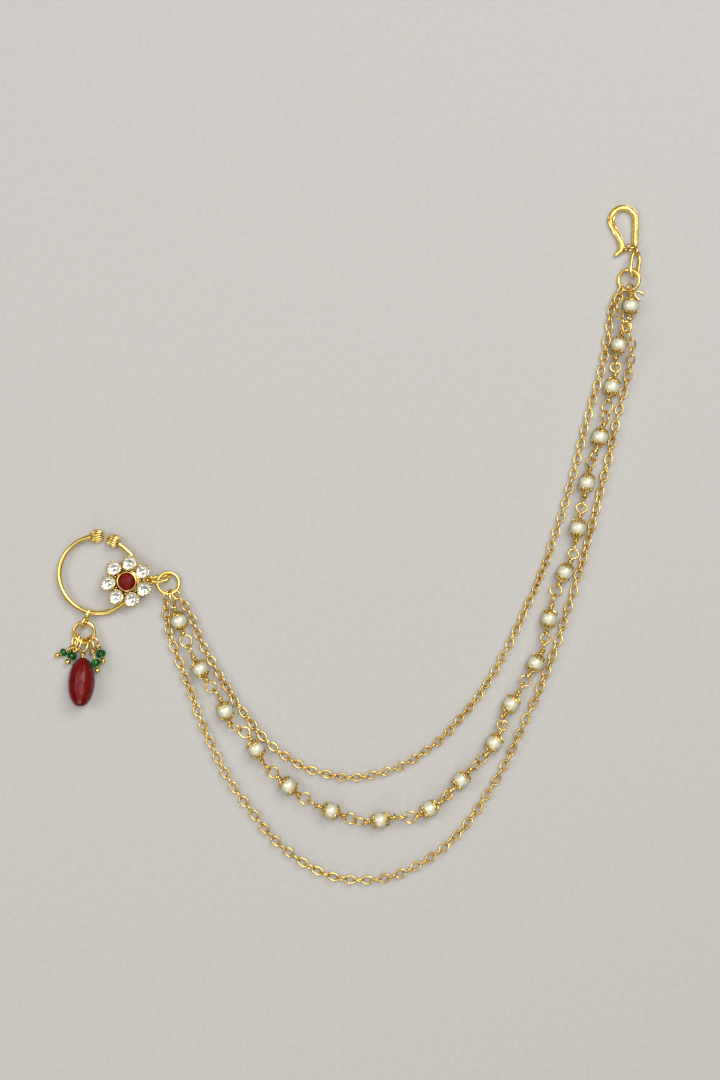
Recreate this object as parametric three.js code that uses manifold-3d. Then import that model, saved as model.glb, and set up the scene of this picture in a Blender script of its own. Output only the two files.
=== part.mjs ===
// Nath: a sprung nose hoop with a flower and a drop cluster, a strand of wired pearls and two
// cable chains that lead to a hair hook. It lies on a surface at z = 0. Millimetres, +Z up.
import * as THREE from 'three';
import { mergeVertices } from 'three/addons/utils/BufferGeometryUtils.js';
import Module from 'manifold-3d';

const wasm = await Module();
wasm.setup();

// ---- Driving dimensions -------------------------------------------------------------------

const GAP = 0.12; // clearance between neighbouring pieces
const FUSE = 0.3; // centre distance of two wires that are joined

const HOOP = { x: -60.7, y: -7.1, z: 1.65, radius: 9.24, wire: 0.6, from: 108, to: 402 };
const END_BEAD = { radius: 1.65, length: 3.0, bore: 0.82 };
const END_BEAD_SPOTS = [
  { x: -60.8, y: 2.15, heading: 184 },
  { x: -56.85, y: 0.95, heading: 153 },
];

const FLOWER = { x: -53.4, y: -8.7, plate: 2.1, petals: 7, radius: 4.46, firstPetal: 32.5 };
const PETAL_STEP = -50.6; // degrees from one petal to the next; the link side keeps a wider gap
const CUP = { base: 1.2, rim: 1.76, height: 1.6, wall: 0.16, floor: 0.75 };
const BEZEL = { radius: 2.42, height: 1.8, wall: 0.2, floor: 0.9 };
const EYE = { x: -48.05, y: -8.4, z: 1.6, radius: 0.8, wire: 0.24, tilt: 28 };
const HOOP_LOOP = { x: -63.6, y: -18.5, z: 1.68, radius: 1.08, wire: 0.36, foot: [-62.7, -15.9, 1.65] };

const OVAL_LINK = { halfWidth: 1.3, wire: 0.34 };
const RING = { radius: 2.6, wire: 0.39 };
const NOSE_RING = { x: -43.75, y: -9.2, z: 1.3, slopeX: -0.2, slopeY: -0.1 };
const HOOK_RING = { x: 66.85, y: 63.6, z: 1.5, slopeX: 0.42, slopeY: 0 };
const PENDANT_RING = { x: -63.9, y: -20.95, z: 1.45, slopeX: 0, slopeY: 0.1, radius: 2.48, wire: 0.42 };

const PEARL = { radius: 2.04, bore: 0.36, axis: 2.2 };
const PIN = { wire: 0.24, capRim: 2.2, capTip: 2.75, neck: 3.6, neckRadius: 0.76 };
const LOOP = { halfWidth: 1.15, least: 1.15 };

const CHAIN_RADIUS = 0.85;
const CHAIN_AXIS = CHAIN_RADIUS * Math.cos(Math.PI / 8); // the octagon's flat lies on the surface

const DROP = { x: -64.4, y: -32.75, z: 2.8, halfWidth: 3.15, halfHeight: 2.7, halfLength: 5.8 };
const GREEN_BEAD = { bore: 0.34, squeeze: 0.8 };
const CHARM = { wire: 0.2, ball: 0.72, neck: 0.42, loop: 0.95 };

const HOOK = { z: 0.72, halfWidth: 0.78, halfThickness: 0.7, bowX: 65.6, bowY: 78.15, bow: 2.9 };

const GOLD = new THREE.MeshStandardMaterial({ color: '#d8a243', metalness: 1, roughness: 0.22 });
const CRYSTAL = new THREE.MeshStandardMaterial({ color: '#eef2f0', metalness: 0, roughness: 0.04 });
const GARNET = new THREE.MeshStandardMaterial({ color: '#7c1414', metalness: 0, roughness: 0.35 });
const RUBY = new THREE.MeshStandardMaterial({ color: '#7a0f10', metalness: 0, roughness: 0.12 });
const GREEN = new THREE.MeshStandardMaterial({ color: '#1d4a26', metalness: 0, roughness: 0.08 });
const NACRE = new THREE.MeshStandardMaterial({ color: '#e4dfce', metalness: 0, roughness: 0.25 });

// ---- Routes and places --------------------------------------------------------------------

// Each pearl's centre, the way its wire runs, and the roll of its two loops about the strand.
const PEARLS = [
  { x: -41.1, y: -18.2, heading: -72, rollIn: 75, rollOut: 0 },
  { x: -36.0, y: -29.7, heading: -59, rollIn: 70, rollOut: 5 },
  { x: -30.0, y: -39.8, heading: -68, rollIn: 90, rollOut: 55 },
  { x: -22.6, y: -48.9, heading: -64, rollIn: -15, rollOut: 90 },
  { x: -14.9, y: -57.7, heading: -40, rollIn: 5, rollOut: 0 },
  { x: -4.7, y: -63.7, heading: -21, rollIn: 85, rollOut: -40 },
  { x: 7.1, y: -65.9, heading: 10, rollIn: 45, rollOut: 90 },
  { x: 19.0, y: -63.2, heading: 31, rollIn: 0, rollOut: 50 },
  { x: 26.5, y: -56.3, heading: 48, rollIn: -40, rollOut: 45 },
  { x: 34.4, y: -47.4, heading: 58, rollIn: -45, rollOut: 0 },
  { x: 38.5, y: -38.1, heading: 57, rollIn: 90, rollOut: 90 },
  { x: 44.4, y: -28.3, heading: 61, rollIn: 0, rollOut: 90 },
  { x: 47.6, y: -17.7, heading: 79, rollIn: 0, rollOut: 75 },
  { x: 51.4, y: -6.5, heading: 63, rollIn: -10, rollOut: 0 },
  { x: 54.5, y: 4.1, heading: 81, rollIn: 90, rollOut: 0 },
  { x: 56.7, y: 14.9, heading: 79, rollIn: 90, rollOut: -40 },
  { x: 59.8, y: 25.9, heading: 73, rollIn: 50, rollOut: 50 },
  { x: 62.7, y: 37.9, heading: 76, rollIn: -35, rollOut: 0 },
  { x: 64.4, y: 48.0, heading: 76, rollIn: 90, rollOut: 0 },
  { x: 67.2, y: 57.3, heading: 88, rollIn: 90, rollOut: 75 },
];

// Route points of the chains, from the nose-side ring to the hook-side ring. A point with no z
// lies on the surface.
const OUTER_ROUTE = [
  { x: -44.0, y: -12.9, z: 1.5 },
  { x: -44.3, y: -16.5 },
  { x: -42.95, y: -23.0 },
  { x: -39.2, y: -33.0 },
  { x: -35.2, y: -44.0 },
  { x: -30.4, y: -54.2 },
  { x: -23.7, y: -64.1 },
  { x: -15.6, y: -73.2 },
  { x: -5.0, y: -79.4 },
  { x: 6.6, y: -80.3 },
  { x: 16.8, y: -76.6 },
  { x: 25.6, y: -69.7 },
  { x: 32.6, y: -60.4 },
  { x: 38.0, y: -50.8 },
  { x: 43.4, y: -39.3 },
  { x: 48.3, y: -27.5 },
  { x: 51.9, y: -16.5 },
  { x: 55.4, y: -5.0 },
  { x: 58.6, y: 7.0 },
  { x: 61.5, y: 18.8 },
  { x: 64.2, y: 30.8 },
  { x: 66.2, y: 39.0 },
  { x: 67.0, y: 43.8, z: 2.4 },
  { x: 66.9, y: 48.5, z: 4.9 },
  { x: 65.4, y: 52.6, z: 4.5 },
  { x: 63.9, y: 56.0, z: 2.8 },
  { x: 64.0, y: 58.6, z: 2.7 },
  { x: 65.0, y: 60.3, z: 2.7 },
];
const INNER_ROUTE = [
  { x: -41.5, y: -12.2, z: 1.6 },
  { x: -38.6, y: -16.4 },
  { x: -35.9, y: -22.9 },
  { x: -31.0, y: -32.0 },
  { x: -25.4, y: -40.7 },
  { x: -18.9, y: -48.3 },
  { x: -9.8, y: -53.9 },
  { x: 1.1, y: -55.8 },
  { x: 11.8, y: -53.2 },
  { x: 21.3, y: -46.9 },
  { x: 29.5, y: -38.0 },
  { x: 36.4, y: -27.2 },
  { x: 42.1, y: -15.5 },
  { x: 47.0, y: -4.0 },
  { x: 51.0, y: 8.0 },
  { x: 54.2, y: 19.5 },
  { x: 57.2, y: 31.3 },
  { x: 60.0, y: 41.0 },
  { x: 61.8, y: 49.5 },
  { x: 62.8, y: 57.0 },
  { x: 64.3, y: 60.4 },
];

// Bead-on-pin drops: where the loop sits on the ring, where it closes on its neck, and the ball.
const GREEN_DROPS = [
  { loop: [-66.03, -22.97, 1.25], neck: [-66.5, -24.55, 1.25], ball: [-70.4, -26.5, 0.75], glass: 1.0 },
  { loop: [-65.4, -23.5, 1.2], neck: [-65.7, -24.9, 1.35], ball: [-67.9, -28.1, 1.1], glass: 1.25 },
  { loop: [-62.45, -23.7, 1.37], neck: [-61.9, -25.1, 1.8], ball: [-60.4, -29.95, 3.5], glass: 1.25 },
  { loop: [-61.55, -23.03, 1.35], neck: [-60.6, -24.15, 1.45], ball: [-59.4, -27.85, 1.0], glass: 1.25 },
];
const DROP_LOOP = [-63.99, -24.08, 1.48];
const DROP_NECK = [-64.1, -25.55, 1.9];

// The hook's wire: its curled tip, the arm up to the bow, and the arm down to the eye.
const HOOK_TIP = [
  { x: 63.65, y: 69.65 },
  { x: 64.4, y: 70.2 },
  { x: 65.05, y: 70.9 },
  { x: 65.15, y: 71.8 },
  { x: 64.8, y: 73.2 },
];
const HOOK_ARM = [
  { x: 68.5, y: 76.3 },
  { x: 68.4, y: 73.8 },
  { x: 68.4, y: 71.4 },
];
const HOOK_EYE = { x: 68.65, y: 70.47, z: 1.42, radius: 1.12, wire: 0.26 };

// ---- Helpers ------------------------------------------------------------------------------

const radians = THREE.MathUtils.degToRad;
const vector = (p) => (Array.isArray(p) ? new THREE.Vector3(...p) : new THREE.Vector3(p.x, p.y, p.z));

// A closed geometry as a solid that can be joined and cut.
function solid(geometry) {
  const bare = geometry.index ? geometry.toNonIndexed() : geometry.clone();
  bare.deleteAttribute('normal');
  bare.deleteAttribute('uv');
  const merged = mergeVertices(bare, 1e-4);
  return new wasm.Manifold(
    new wasm.Mesh({
      numProp: 3,
      vertProperties: merged.attributes.position.array,
      triVerts: new Uint32Array(merged.index.array),
    }),
  );
}

// One geometry from several that overlap, less what the cutters hold.
function joined(geometries, cutters = []) {
  let body = solid(geometries[0]);
  for (const geometry of geometries.slice(1)) body = body.add(solid(geometry));
  for (const geometry of cutters) body = body.subtract(solid(geometry));
  const mesh = body.getMesh();
  const made = new THREE.BufferGeometry();
  made.setAttribute('position', new THREE.BufferAttribute(mesh.vertProperties, 3));
  made.setIndex(new THREE.BufferAttribute(mesh.triVerts, 1));
  made.computeVertexNormals();
  return made;
}

// Turns a geometry made along +X to point from one place towards another, rolled about that line.
function aimed(geometry, from, to, roll = 0) {
  const along = vector(to).sub(vector(from)).normalize();
  const side = new THREE.Vector3(0, 0, 1).cross(along).normalize();
  const frame = new THREE.Matrix4().makeBasis(along, side, along.clone().cross(side));
  return geometry
    .applyMatrix4(new THREE.Matrix4().makeRotationX(radians(roll)))
    .applyMatrix4(frame)
    .translate(...vector(from).toArray());
}

// A body of revolution about X from a profile of [x, radius] pairs.
function turned(profile, segments) {
  const points = profile.map(([x, radius]) => new THREE.Vector2(radius, x));
  return new THREE.LatheGeometry(points, segments).rotateZ(-Math.PI / 2);
}

// A round rod along +X.
const rod = (radius, length, sides) => turned([[0, 0], [0, radius], [length, radius], [length, 0]], sides);

// A closed wire ring in the XY plane, long axis on X.
function wireRing(halfLength, halfWidth, wire, segments = 16, sides = 6) {
  const ring = new THREE.TorusGeometry(halfWidth, wire, sides, segments);
  const place = ring.attributes.position;
  for (let i = 0; i < place.count; i += 1) {
    const turn = Math.atan2(place.getY(i), place.getX(i));
    place.setX(i, place.getX(i) + (halfLength - halfWidth) * Math.cos(turn));
  }
  return ring;
}

// A tube along a curve, with an even-sided section whose flat faces look up and down.
function tube(curve, halfWidth, halfThickness, sides, steps) {
  const section = new THREE.Shape(
    Array.from({ length: sides }, (_, i) => {
      const turn = ((i + 0.5) / sides) * 2 * Math.PI;
      return new THREE.Vector2(halfThickness * Math.cos(turn), halfWidth * Math.sin(turn));
    }),
  );
  return new THREE.ExtrudeGeometry(section, { steps, extrudePath: curve, curveSegments: 1 });
}

const smooth = (points) => new THREE.CatmullRomCurve3(points.map(vector));

// A chain's course, which never dips below the surface that it lies on.
class ChainCourse extends THREE.CatmullRomCurve3 {
  constructor(route) {
    super(route.map(({ x, y, z = CHAIN_AXIS }) => new THREE.Vector3(x, y, z)));
  }

  getPoint(t, target = new THREE.Vector3()) {
    super.getPoint(t, target);
    return target.setZ(Math.max(target.z, CHAIN_AXIS));
  }

  getPointAt(u, target) {
    return this.getPoint(u, target);
  }

  getTangentAt(u, target) {
    return this.getTangent(u, target);
  }
}

// Points on a round arc at one height, angles in degrees.
function arc(x, y, z, radius, from, to, count) {
  return Array.from({ length: count + 1 }, (_, i) => {
    const turn = radians(from + ((to - from) * i) / count);
    return new THREE.Vector3(x + radius * Math.cos(turn), y + radius * Math.sin(turn), z);
  });
}

// A ball with a round bore along X.
function bored(radius, bore, segments, rings, squeeze = 1) {
  const open = Math.asin(bore / radius);
  const profile = Array.from({ length: rings + 1 }, (_, i) => {
    const turn = -Math.PI / 2 + open + ((Math.PI - 2 * open) * i) / rings;
    return [radius * squeeze * Math.sin(turn), radius * Math.cos(turn)];
  });
  return turned([...profile, profile[0]], segments);
}

const nath = new THREE.Group();

function add(name, geometry, material, place = {}) {
  const mesh = new THREE.Mesh(geometry, material);
  mesh.name = name;
  mesh.position.set(place.x ?? 0, place.y ?? 0, place.z ?? 0);
  mesh.rotation.z = radians(place.heading ?? 0);
  nath.add(mesh);
}

// ---- The hoop with its flower -------------------------------------------------------------

function petalCentre(index) {
  const turn = radians(FLOWER.firstPetal + PETAL_STEP * -index);
  return {
    x: FLOWER.x + FLOWER.radius * Math.cos(turn),
    y: FLOWER.y + FLOWER.radius * Math.sin(turn),
  };
}

// An upright cup about Z, flared to its rim, with a floor inside.
function cup({ base, rim, height, wall, floor }, x, y, segments) {
  const points = [[0, 0], [base, 0], [rim, height], [rim - wall, height], [base, floor], [0, floor]];
  const lathe = new THREE.LatheGeometry(points.map(([r, z]) => new THREE.Vector2(r, z)), segments);
  return lathe.rotateX(Math.PI / 2).translate(x, y, FLOWER.plate + 0.2);
}

function disc(radius, height, x, y, z, segments) {
  const cylinder = new THREE.CylinderGeometry(radius, radius, height, segments);
  return cylinder.rotateX(Math.PI / 2).translate(x, y, z + height / 2);
}

function granule(radius, distance, angle, z) {
  const turn = radians(angle);
  const x = FLOWER.x + distance * Math.cos(turn);
  const y = FLOWER.y + distance * Math.sin(turn);
  return new THREE.IcosahedronGeometry(radius, 0).translate(x, y, z);
}

// A point on an end bead's axis, some way along its heading.
function onBeadAxis({ x, y, heading }, distance) {
  const turn = radians(heading);
  return { x: x + distance * Math.cos(turn), y: y + distance * Math.sin(turn), z: HOOP.z };
}

function nathFrame() {
  const [firstBead, secondBead] = END_BEAD_SPOTS;
  const hoopPoints = [
    onBeadAxis(firstBead, -1.7),
    onBeadAxis(firstBead, 1.3),
    ...arc(HOOP.x, HOOP.y, HOOP.z, HOOP.radius, HOOP.from, HOOP.to, 22),
    onBeadAxis(secondBead, -1.3),
    onBeadAxis(secondBead, 1.7),
  ];
  const { radius, wire, foot } = HOOP_LOOP;
  const parts = [
    tube(smooth(hoopPoints), HOOP.wire, HOOP.wire, 8, 30),
    aimed(wireRing(radius, radius, wire, 12, 6), HOOP_LOOP, foot, 90),
    aimed(rod(0.45, 1.65, 6), foot, HOOP_LOOP),
    disc(FLOWER.radius - 0.1, 0.45, FLOWER.x, FLOWER.y, FLOWER.plate, 20),
    cup({ base: BEZEL.radius, rim: BEZEL.radius, ...BEZEL }, FLOWER.x, FLOWER.y, 16),
    wireRing(EYE.radius, EYE.radius, EYE.wire, 12, 5)
      .rotateX(radians(EYE.tilt))
      .translate(EYE.x, EYE.y, EYE.z),
    new THREE.BoxGeometry(5.2, 1.3, 0.6).translate(FLOWER.x + 2.5, EYE.y, FLOWER.plate + 0.3),
    new THREE.BoxGeometry(0.5, 0.6, 1.0).translate(EYE.x - EYE.radius - 0.05, EYE.y, 1.85),
  ];
  for (let i = 0; i < FLOWER.petals; i += 1) {
    const { x, y } = petalCentre(i);
    parts.push(cup(CUP, x, y, 10));
  }
  for (let i = 0; i + 1 < FLOWER.petals; i += 1) {
    const angle = FLOWER.firstPetal - PETAL_STEP * (i + 0.5);
    parts.push(granule(0.45, 3.2, angle, 2.85), granule(0.4, 4.5, angle, 2.75));
  }
  for (const distance of [3.3, 4.15, 4.85]) parts.push(granule(0.4, distance, 4, 2.85));
  return joined(parts);
}

add('nath_frame', nathFrame(), GOLD);

END_BEAD_SPOTS.forEach((spot, i) => {
  const { radius, length, bore } = END_BEAD;
  const half = length / 2;
  const outside = [[-half, 1.15], [-0.7, radius], [0.7, radius], [half, 1.15]];
  const profile = [[-half, bore], ...outside, [half, bore], [-half, bore]];
  add(`end_bead_${i + 1}`, turned(profile, 12), GOLD, { ...spot, z: HOOP.z });
});

// Stones: a pointed foot, a girdle that clears the cup's rim, and a table.
for (let i = 0; i < FLOWER.petals; i += 1) {
  const profile = [[0.15, 0], [0.8, 1.4], [1.25, 0.85], [1.25, 0]];
  const stone = turned(profile, 8).rotateY(-Math.PI / 2);
  add(`crystal_${i + 1}`, stone, CRYSTAL, { ...petalCentre(i), z: FLOWER.plate + 0.95 });
}
const dome = turned([[0, 0], [0, 2.05], [0.7, 2.0], [1.25, 1.4], [1.5, 0]], 16).rotateY(-Math.PI / 2);
add('centre_stone', dome, GARNET, { x: FLOWER.x, y: FLOWER.y, z: FLOWER.plate + 0.2 + BEZEL.floor + GAP });

// ---- Rings and links ----------------------------------------------------------------------

// A round jump ring whose plane slopes from the level.
function jumpRing(name, { x, y, z, slopeX, slopeY, radius = RING.radius, wire = RING.wire }) {
  const normal = new THREE.Vector3(-slopeX, -slopeY, 1).normalize();
  const tilt = new THREE.Quaternion().setFromUnitVectors(new THREE.Vector3(0, 0, 1), normal);
  add(name, wireRing(radius, radius, wire, 16, 6).applyQuaternion(tilt), GOLD, { x, y, z });
}

function ovalLink(name, from, to, roll) {
  const half = vector(to).distanceTo(vector(from)) / 2;
  const link = wireRing(half, OVAL_LINK.halfWidth, OVAL_LINK.wire).translate(half, 0, 0);
  add(name, aimed(link, from, to, roll), GOLD);
}

jumpRing('nose_side_ring', NOSE_RING);
jumpRing('pendant_ring', PENDANT_RING);
jumpRing('hook_side_ring', HOOK_RING);
ovalLink('flower_link', [-48.0, -8.4, 1.6], [-43.4, -7.85, 1.7], -62);
ovalLink('hook_link', [68.7, 70.45, 1.4], [67.95, 64.45, 1.95], -34);

// ---- Pearls on wrapped pins ---------------------------------------------------------------

const pearlPlace = ({ x, y }) => new THREE.Vector3(x, y, PEARL.axis);

// Where a pin's neck ends, ahead of its pearl (side 1) or behind it (side -1).
function neckEnd(pearl, side, reach = PIN.neck) {
  const turn = radians(pearl.heading);
  const along = new THREE.Vector3(Math.cos(turn), Math.sin(turn), 0);
  return pearlPlace(pearl).addScaledVector(along, side * reach);
}

// The wire through one pearl, with its dished caps and the wraps behind them.
function pinBody(pearl, reachIn, reachOut) {
  const { wire, capRim, capTip, neckRadius } = PIN;
  const half = (reach) => [
    [2.36, wire],
    [1.3, capRim - 0.1],
    [1.5, capRim],
    [capTip, neckRadius],
    [reach, neckRadius],
    [reach, 0],
  ];
  const behind = half(reachIn).map(([x, radius]) => [-x, radius]);
  const pin = turned([...behind.reverse(), ...half(reachOut)], 8);
  return pin.rotateZ(radians(pearl.heading)).translate(...pearlPlace(pearl).toArray());
}

function endLoop(from, towards, halfLength, roll) {
  const loop = wireRing(halfLength, LOOP.halfWidth, PIN.wire, 8, 4).translate(halfLength, 0, 0);
  return aimed(loop, from, towards, roll);
}

const FIRST_LOOP = { towards: [-43.1, -11.4, 2.0], halfLength: 2.14, below: 0.6 };
const LAST_LOOP = { towards: [67.1, 64, 2.0], halfLength: 1.3, below: 0.45, reach: 2.85 };

// A pair's pins meet in the middle loops, which are soldered into one body here; the loops of
// neighbouring pairs pass through each other with a clearance.
function pinPair(first) {
  const last = PEARLS.length - 1;
  const parts = [];
  for (const i of [first, first + 1]) {
    const pearl = PEARLS[i];
    const reachOut = i === last ? LAST_LOOP.reach : PIN.neck;
    parts.push(pinBody(pearl, PIN.neck, reachOut));
    for (const side of [-1, 1]) {
      const next = PEARLS[i + side];
      const start = neckEnd(pearl, side, side > 0 ? reachOut : PIN.neck);
      const roll = side > 0 ? pearl.rollOut : pearl.rollIn;
      if (next) {
        const target = neckEnd(next, -side);
        const inPair = (i === first) === (side > 0);
        const spare = inPair ? FUSE : 2 * PIN.wire + GAP;
        const half = Math.max((start.distanceTo(target) + spare) / 4, inPair ? 0 : LOOP.least);
        parts.push(endLoop(start, target, half, side > 0 ? roll : -roll));
      } else {
        const end = side > 0 ? LAST_LOOP : FIRST_LOOP;
        start.z -= end.below;
        parts.push(endLoop(start, vector(end.towards).setZ(start.z), end.halfLength, roll));
      }
    }
  }
  return joined(parts);
}

PEARLS.forEach((pearl, i) => {
  const bead = bored(PEARL.radius, PEARL.bore, 10, 4);
  const number = String(i + 1).padStart(2, '0');
  add(`pearl_${number}`, bead, NACRE, { x: pearl.x, y: pearl.y, z: PEARL.axis, heading: pearl.heading });
  if (i % 2 === 0) {
    const nextNumber = String(i + 2).padStart(2, '0');
    add(`pearl_pins_${number}_${nextNumber}`, pinPair(i), GOLD);
  }
});

// ---- Chains -------------------------------------------------------------------------------

const chain = (route, steps) => tube(new ChainCourse(route), CHAIN_RADIUS, CHAIN_RADIUS, 8, steps);
add('outer_chain', chain(OUTER_ROUTE, 48), GOLD);
add('inner_chain', chain(INNER_ROUTE, 32), GOLD);

// ---- The drop cluster ---------------------------------------------------------------------

// The wire of a drop: its loop on the ring, the wraps, the straight pin and whatever ends it.
function charmPin(loop, neck, tip, endBall) {
  const reach = vector(neck).distanceTo(vector(loop));
  const length = vector(tip).distanceTo(vector(neck));
  const ring = wireRing(reach, CHARM.loop, CHARM.wire, 10, 4);
  const parts = [
    aimed(ring, loop, neck, 90),
    aimed(rod(CHARM.neck, 0.85, 6).translate(-0.15, 0, 0), neck, tip),
    aimed(rod(CHARM.wire, length, 6), neck, tip),
  ];
  if (endBall) parts.push(new THREE.SphereGeometry(CHARM.ball, 8, 6).translate(...tip));
  return joined(parts);
}

GREEN_DROPS.forEach(({ loop, neck, ball, glass }, i) => {
  const { bore, squeeze } = GREEN_BEAD;
  const inward = vector(neck).sub(vector(ball)).normalize();
  const at = vector(ball).addScaledVector(inward, CHARM.ball + glass * squeeze + GAP);
  add(`green_bead_${i + 1}`, aimed(bored(glass, bore, 9, 4, squeeze), at, ball), GREEN);
  add(`green_pin_${i + 1}`, charmPin(loop, neck, ball, true), GOLD);
});

// The oval drop is half drilled from its top for the wire's end.
function redDrop() {
  const rings = 8;
  const profile = Array.from({ length: rings + 1 }, (_, i) => {
    const turn = (i / rings) * Math.PI;
    return [-DROP.halfLength * Math.cos(turn), DROP.halfWidth * Math.sin(turn) ** 0.9];
  });
  const stone = turned(profile, 12).scale(1, 1, DROP.halfHeight / DROP.halfWidth);
  const drill = rod(CHARM.wire + GAP, 4.4, 8).translate(-DROP.halfLength - 1, 0, 0);
  return aimed(joined([stone], [drill]).rotateY(Math.PI), DROP, DROP_NECK);
}

add('red_drop', redDrop(), RUBY);
const pinEnd = vector(DROP_NECK).lerp(vector(DROP), 0.55).toArray();
add('red_drop_pin', charmPin(DROP_LOOP, DROP_NECK, pinEnd, false), GOLD);

// ---- The hook -----------------------------------------------------------------------------

function hairHook() {
  const level = (points) => points.map(({ x, y }) => new THREE.Vector3(x, y, HOOK.z));
  const path = [
    ...level(HOOK_TIP),
    ...arc(HOOK.bowX, HOOK.bowY, HOOK.z, HOOK.bow, 208, -8, 12),
    ...level(HOOK_ARM),
  ];
  return joined([
    tube(smooth(path), HOOK.halfWidth, HOOK.halfThickness, 8, 28),
    wireRing(HOOK_EYE.radius, HOOK_EYE.radius, HOOK_EYE.wire, 12, 6)
      .rotateY(Math.PI / 2)
      .translate(HOOK_EYE.x, HOOK_EYE.y, HOOK_EYE.z),
    new THREE.IcosahedronGeometry(0.55, 0).translate(66.75, 71.75, 0.9),
    new THREE.BoxGeometry(1.5, 0.6, 0.6).translate(66.0, 71.3, 0.8),
  ]);
}

add('hair_hook', hairHook(), GOLD);

// The stub of a chain link that was cut open: two prongs from a bend on the hook-side ring.
const stubPoints = [[70.6, 60.1], [70.0, 60.75], [69.0, 61.0], [68.4, 60.3], [69.0, 59.4], [69.9, 58.9]];
const stub = smooth(stubPoints.map(([x, y]) => [x, y, 0.3]));
add('cut_link', tube(stub, 0.21, 0.21, 6, 12), GOLD);

export default nath;
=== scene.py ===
"""Looks of a nath: a sprung nose hoop with a gem flower and a drop cluster, joined by a strand of
capped pearls and two cable chains to a hair hook. Sizes are in millimetres until a piece is made.
"""

import logging
import math
from dataclasses import dataclass, field
from enum import Enum
from typing import Any, Callable, Sequence

import bmesh
import bpy
import numpy as np
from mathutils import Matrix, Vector


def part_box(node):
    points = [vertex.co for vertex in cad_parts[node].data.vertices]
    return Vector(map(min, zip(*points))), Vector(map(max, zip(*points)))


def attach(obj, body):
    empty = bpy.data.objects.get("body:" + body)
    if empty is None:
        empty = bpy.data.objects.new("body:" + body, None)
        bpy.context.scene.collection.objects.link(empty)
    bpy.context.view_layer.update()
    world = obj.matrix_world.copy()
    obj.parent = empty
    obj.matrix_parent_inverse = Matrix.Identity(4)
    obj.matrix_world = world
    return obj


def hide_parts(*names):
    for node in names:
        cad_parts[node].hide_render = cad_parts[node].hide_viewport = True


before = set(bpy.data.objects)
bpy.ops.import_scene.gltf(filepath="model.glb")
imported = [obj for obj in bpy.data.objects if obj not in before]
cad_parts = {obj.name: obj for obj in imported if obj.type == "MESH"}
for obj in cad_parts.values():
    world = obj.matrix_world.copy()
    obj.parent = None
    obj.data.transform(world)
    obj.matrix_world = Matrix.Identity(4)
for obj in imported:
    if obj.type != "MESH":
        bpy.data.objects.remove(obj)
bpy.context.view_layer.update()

LOG = logging.getLogger("nath")
MM = 0.001
BODY = "root"
UP = np.array([0.0, 0.0, 1.0])

Profile = Sequence[tuple[float, float]]


# ---- Shapes ---------------------------------------------------------------------------------


@dataclass
class Shell:
    """One closed surface: points in millimetres, faces, and which finish its faces take."""

    points: np.ndarray
    faces: list[tuple[int, ...]]
    finish: int = 0

    def placed(self, basis: np.ndarray, at: np.ndarray) -> "Shell":
        """Turns the shell by a basis of row vectors and moves it.

        Args:
            basis: Where X, Y and Z go, one per row.
            at: Where the shell's origin goes.

        Returns:
            The shell in its new place.
        """
        return Shell(self.points @ basis + at, self.faces, self.finish)


def vec(*xyz: float) -> np.ndarray:
    """A point or direction."""
    return np.array(xyz, float)


def unit(v: np.ndarray) -> np.ndarray:
    """A direction of length one."""
    return v / max(float(np.linalg.norm(v)), 1e-9)


def aim(direction: np.ndarray, roll: float = 0.0) -> np.ndarray:
    """The basis that points X along a direction.

    Args:
        direction: Where X goes.
        roll: Turn about that direction, in degrees, from Y level.

    Returns:
        A basis of row vectors.
    """
    along = unit(direction)
    upright = abs(along[2]) > 0.999
    side = vec(0, 1, 0) if upright else unit(np.cross(UP, along))
    rise = np.cross(along, side)
    c, s = math.cos(math.radians(roll)), math.sin(math.radians(roll))
    return np.array([along, c * side + s * rise, c * rise - s * side])


STANDING = np.array([[0, 0, 1], [0, 1, 0], [-1, 0, 0]], float)  # X points up


def round_section(radius: float, sides: int) -> np.ndarray:
    """The corners of a round wire's section."""
    turn = np.arange(sides) * 2 * math.pi / sides
    return radius * np.column_stack([np.cos(turn), np.sin(turn)])


def sweep(
    path: np.ndarray,
    section: np.ndarray,
    closed: bool = False,
    scale: np.ndarray | None = None,
    start_up: np.ndarray | None = None,
    twist: np.ndarray | None = None,
) -> Shell:
    """Draws a section along a path without needless twist.

    Args:
        path: Points along the wire.
        section: Corners of the section, as (sideways, upwards).
        closed: Whether the path joins up with its start.
        scale: Size of the section at each point.
        start_up: The section's upward direction at the start.
        twist: Turn of the section at each point, in radians.

    Returns:
        The wire as a closed shell.
    """
    count, corners = len(path), len(section)
    if closed:
        along = np.roll(path, -1, 0) - np.roll(path, 1, 0)
    else:
        along = np.gradient(path, axis=0)
    along = along / np.linalg.norm(along, axis=1, keepdims=True)
    first = start_up if start_up is not None else UP
    if abs(float(first @ along[0])) > 0.95:
        first = vec(0, 1, 0) if abs(along[0][1]) < 0.9 else vec(1, 0, 0)
    rises = np.empty_like(path)
    rise = first
    for i in range(count):
        rise = unit(rise - (rise @ along[i]) * along[i])
        rises[i] = rise
    sides = np.cross(along, rises)
    if twist is not None:
        c, s = np.cos(twist)[:, None], np.sin(twist)[:, None]
        sides, rises = c * sides + s * rises, c * rises - s * sides
    size = np.ones(count) if scale is None else scale
    flat = section[None, :, 0, None] * sides[:, None] + section[None, :, 1, None] * rises[:, None]
    points = (path[:, None] + size[:, None, None] * flat).reshape(-1, 3)
    faces = []
    for i in range(count if closed else count - 1):
        a, b = i * corners, ((i + 1) % count) * corners
        for j in range(corners):
            k = (j + 1) % corners
            faces.append((a + j, b + j, b + k, a + k))
    if not closed:
        faces.append(tuple(range(corners)))
        faces.append(tuple(reversed(range((count - 1) * corners, count * corners))))
    return Shell(points, faces)


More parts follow.
